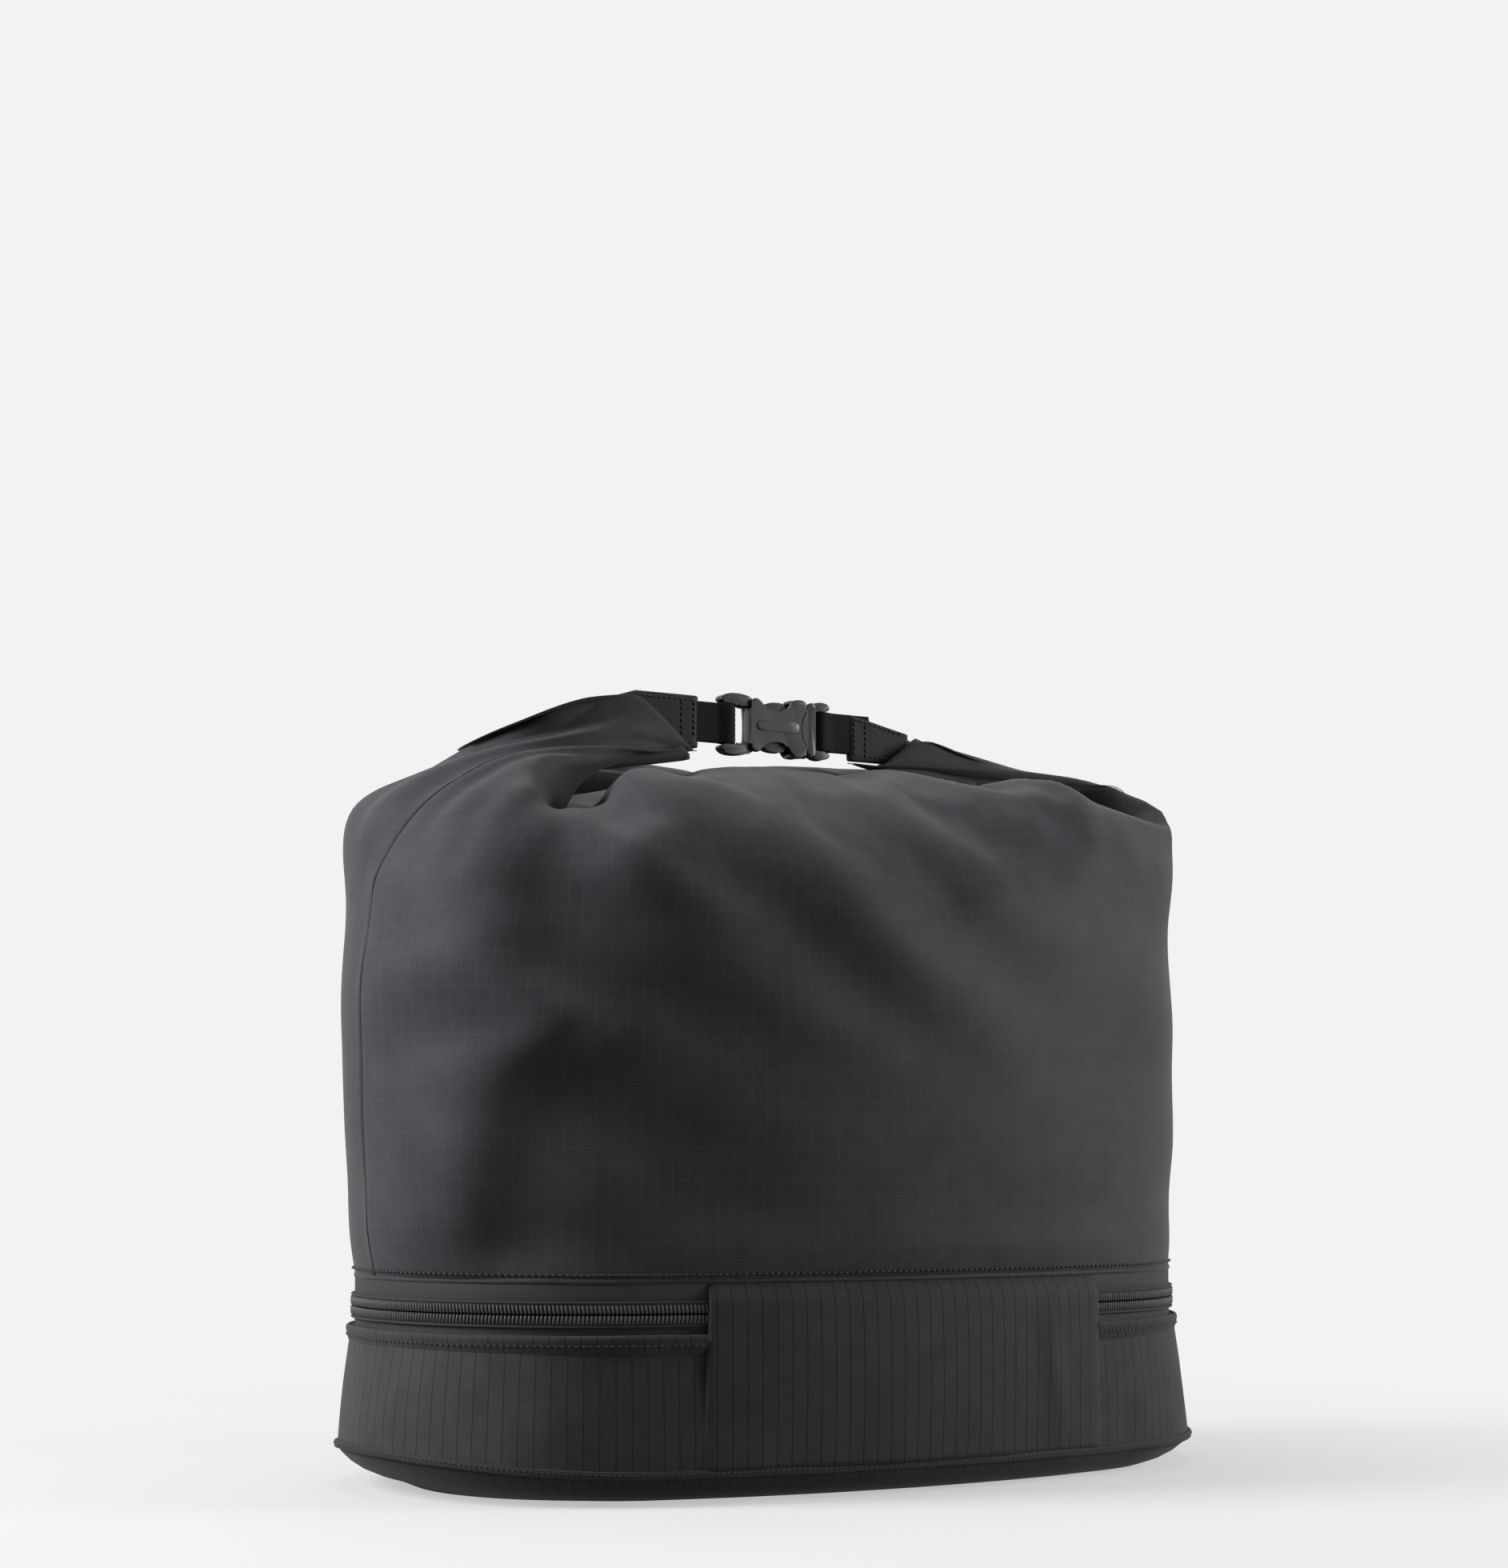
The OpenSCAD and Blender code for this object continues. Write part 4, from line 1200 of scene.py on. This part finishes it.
for side, way in (("upper", 1), ("lower", -1)):
    prong = bmesh.new()
    slab(prong, ring_line([(x, way * z) for x, z in PRONG], 3), -2.8, 2.8, 0.5, in_buckle)
    moulded("prong_" + side + "_moulding", prong, acetal, side + "_prong", "prong_" + side)


# Zip sliders and pulls
# Two sliders of painted die-cast zinc meet head to head at the middle of the back, each with a flat pull that
# turns on a pin under its bail.
SLIDER_APART = 10.0
PIN_OUT = 3.4
PIN_RADIUS = 0.9
SHIELD_HALF = [(-8.3, 0), (-8.0, 3.6), (-4, 5.4), (3, 5.9), (8.0, 5.2), (8.4, 0)]
PULL_HALF = [(8.6, 0), (9.2, 3.7), (16, 3.6), (24, 3.9), (26, 2.4), (26.1, 0)]
PULL_RAISED = [(12, 0), (12.4, 2.2), (22, 2.4), (24, 1.4), (24.3, 0)]
# Paint on metal: dark, with a soft shine that the metal below sharpens.
painted_zinc = plain("painted_zinc", "#1e1e20", 0.34, 0.5, 0.6, 0.15, 1.1111)
for side, way in (("left", -1), ("right", 1)):
    turn = -way * SLIDER_APART / SIDE_RADIUS

    def on_back(x, y, z, turn=turn):
        """Place in metres of a point given in mm along, out from and up the zip at the slider."""
        reach = SIDE_RADIUS + y
        return Vector(((x * math.cos(turn) - reach * math.sin(turn)) / 1000,
                       (x * math.sin(turn) + reach * math.cos(turn) - SIDE_CENTRE) / 1000,
                       (ZIP_HEIGHT + z) / 1000))

    def on_pull(x, y, z, way=way, place=on_back):
        """Place in metres of a point given in mm from the pull's pin."""
        return place(way * x, PIN_OUT + y, z)

    slider = bmesh.new()
    shield = [(way * -x, z) for x, z in ring_line(mirrored(SHIELD_HALF))]
    slab(slider, shield, 0.5, 2.0, 0.5, on_back)
    slab(slider, shield, -5.6, -4.2, 0.4, on_back)
    slab(slider, block(-3, 3, -0.35, 0.35), -5, 1, 0.1, on_back)
    for x in (-3.4, 3.4):
        slab(slider, block(x - 0.8, x + 0.8, -1.4, 1.4), 1.9, 5.6, 0.3, on_back)
    slab(slider, block(-4.2, 4.2, -1.4, 1.4), 4.7, 5.9, 0.5, on_back)
    moulded("slider_" + side + "_metal", slider, painted_zinc, side + "_slider",
            "zip_slider_" + side)
    pull = bmesh.new()
    slab(pull, ring_line(mirrored(PULL_HALF)), -0.7, 0.7, 0.4, on_pull)
    slab(pull, ring_line(mirrored(PULL_RAISED)), 0.5, 1.0, 0.25, on_pull)
    for face in (-1, 1):
        slab(pull, block(-0.6, 10.4, face * 2.5, face * 3.9), -0.65, 0.65, 0.3, on_pull)
    rod(pull, 0, 0, PIN_RADIUS, 3.9, on_pull)
    moulded("pull_" + side + "_metal", pull, painted_zinc, side + "_pull", "zip_pull_" + side)


# Stage
# A pale paper floor that runs out to the white of the background, and three soft rectangular studio lights.
# The light level is plain: the white comes from what camera and mirror rays see, not from more light.
FLOOR_HALF = 40
floor_mesh = bpy.data.meshes.new("floor")
ground = bmesh.new()
bmesh.ops.create_grid(ground, x_segments=1, y_segments=1, size=FLOOR_HALF)
ground.to_mesh(floor_mesh)
ground.free()
floor = bpy.data.objects.new("floor", floor_mesh)
scene.collection.objects.link(floor)
paper = bpy.data.materials.new("floor_paper")
paper.use_nodes = True
tree = paper.node_tree
tree.nodes.clear()
place = add_node(tree, "ShaderNodeTexCoord", {}).outputs["Object"]
far = add_node(tree, "ShaderNodeVectorMath", {0: place}, operation="LENGTH")
fade = add_node(tree, "ShaderNodeMapRange", {"Value": far.outputs["Value"], "From Min": 0.15,
                                             "From Max": 0.75, "To Min": 0.55},
                interpolation_type="SMOOTHSTEP")
ray = add_node(tree, "ShaderNodeLightPath", {})
seen = add_node(tree, MATH, {0: ray.outputs["Is Camera Ray"], 1: ray.outputs["Is Glossy Ray"]},
                operation="MAXIMUM").outputs[0]
tone = add_node(tree, "ShaderNodeMix", {"Factor": seen, "A": colour("#707070"), "B": colour("#e2e2e2")},
                data_type="RGBA")
lit = add_node(tree, "ShaderNodeBsdfPrincipled", {"Base Color": tone.outputs["Result"], "Roughness": 0.9,
                                                  "Specular IOR Level": 0.1})
glow = add_node(tree, "ShaderNodeEmission", {"Color": colour("#f2f2f2")})
share = add_node(tree, MATH, {0: fade.outputs["Result"], 1: seen}, operation="MULTIPLY")
surface = add_node(tree, "ShaderNodeMixShader", {0: share.outputs[0], 1: lit.outputs[0], 2: glow.outputs[0]})
add_node(tree, "ShaderNodeOutputMaterial", {"Surface": surface.outputs[0]})
floor_mesh.materials.append(paper)
floor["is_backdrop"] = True
world = bpy.data.worlds.new("studio")
scene.world = world
world.use_nodes = True
tree = world.node_tree
tree.nodes.clear()
ray = add_node(tree, "ShaderNodeLightPath", {})
seen = ray.outputs["Is Camera Ray"]
for kind in ("Is Transmission Ray", "Is Glossy Ray"):
    seen = add_node(tree, MATH, {0: seen, 1: ray.outputs[kind]}, operation="MAXIMUM").outputs[0]
level = add_node(tree, "ShaderNodeMapRange", {"Value": seen, "To Min": 0.11, "To Max": 1.0})
sky = add_node(tree, "ShaderNodeBackground", {"Color": colour("#f2f2f2"),
                                              "Strength": level.outputs["Result"]})
add_node(tree, "ShaderNodeOutputWorld", {"Surface": sky.outputs[0]})
for name, place, target, width, height, power in (
        ("key", (-1.72, 0.48, 1.1), (-0.1, 0, 0.2), 0.7, 1.2, 50),
        ("fill", (1.65, -1.1, 0.7), (0.1, 0, 0.2), 0.7, 1.1, 29),
        ("top", (0.1, 0.3, 1.9), (0, 0, 0.2), 1.2, 1.0, 10)):
    light = bpy.data.lights.new(name, "AREA")
    light.shape = "RECTANGLE"
    light.size = width
    light.size_y = height
    light.energy = power
    lamp = bpy.data.objects.new(name, light)
    lamp.location = place
    lamp.rotation_euler = (Vector(target) - Vector(place)).to_track_quat("-Z", "Y").to_euler()
    scene.collection.objects.link(lamp)


# Camera
# It stands in front of the left end, at the photograph's distance and height. Its small upward tilt and its
# shift together give the photograph's framing.
lens = bpy.data.cameras.new("camera")
lens.sensor_width = 36
lens.lens = 67.1
lens.shift_y = 0.0955
camera = bpy.data.objects.new("camera", lens)
camera.location = (-0.7629, -1.2483, 0.150)
camera.rotation_euler = Vector((0.515, 0.857, 0.079)).to_track_quat("-Z", "Y").to_euler()
scene.collection.objects.link(camera)
scene.camera = camera
scene.view_settings.view_transform = "Standard"

low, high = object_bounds()
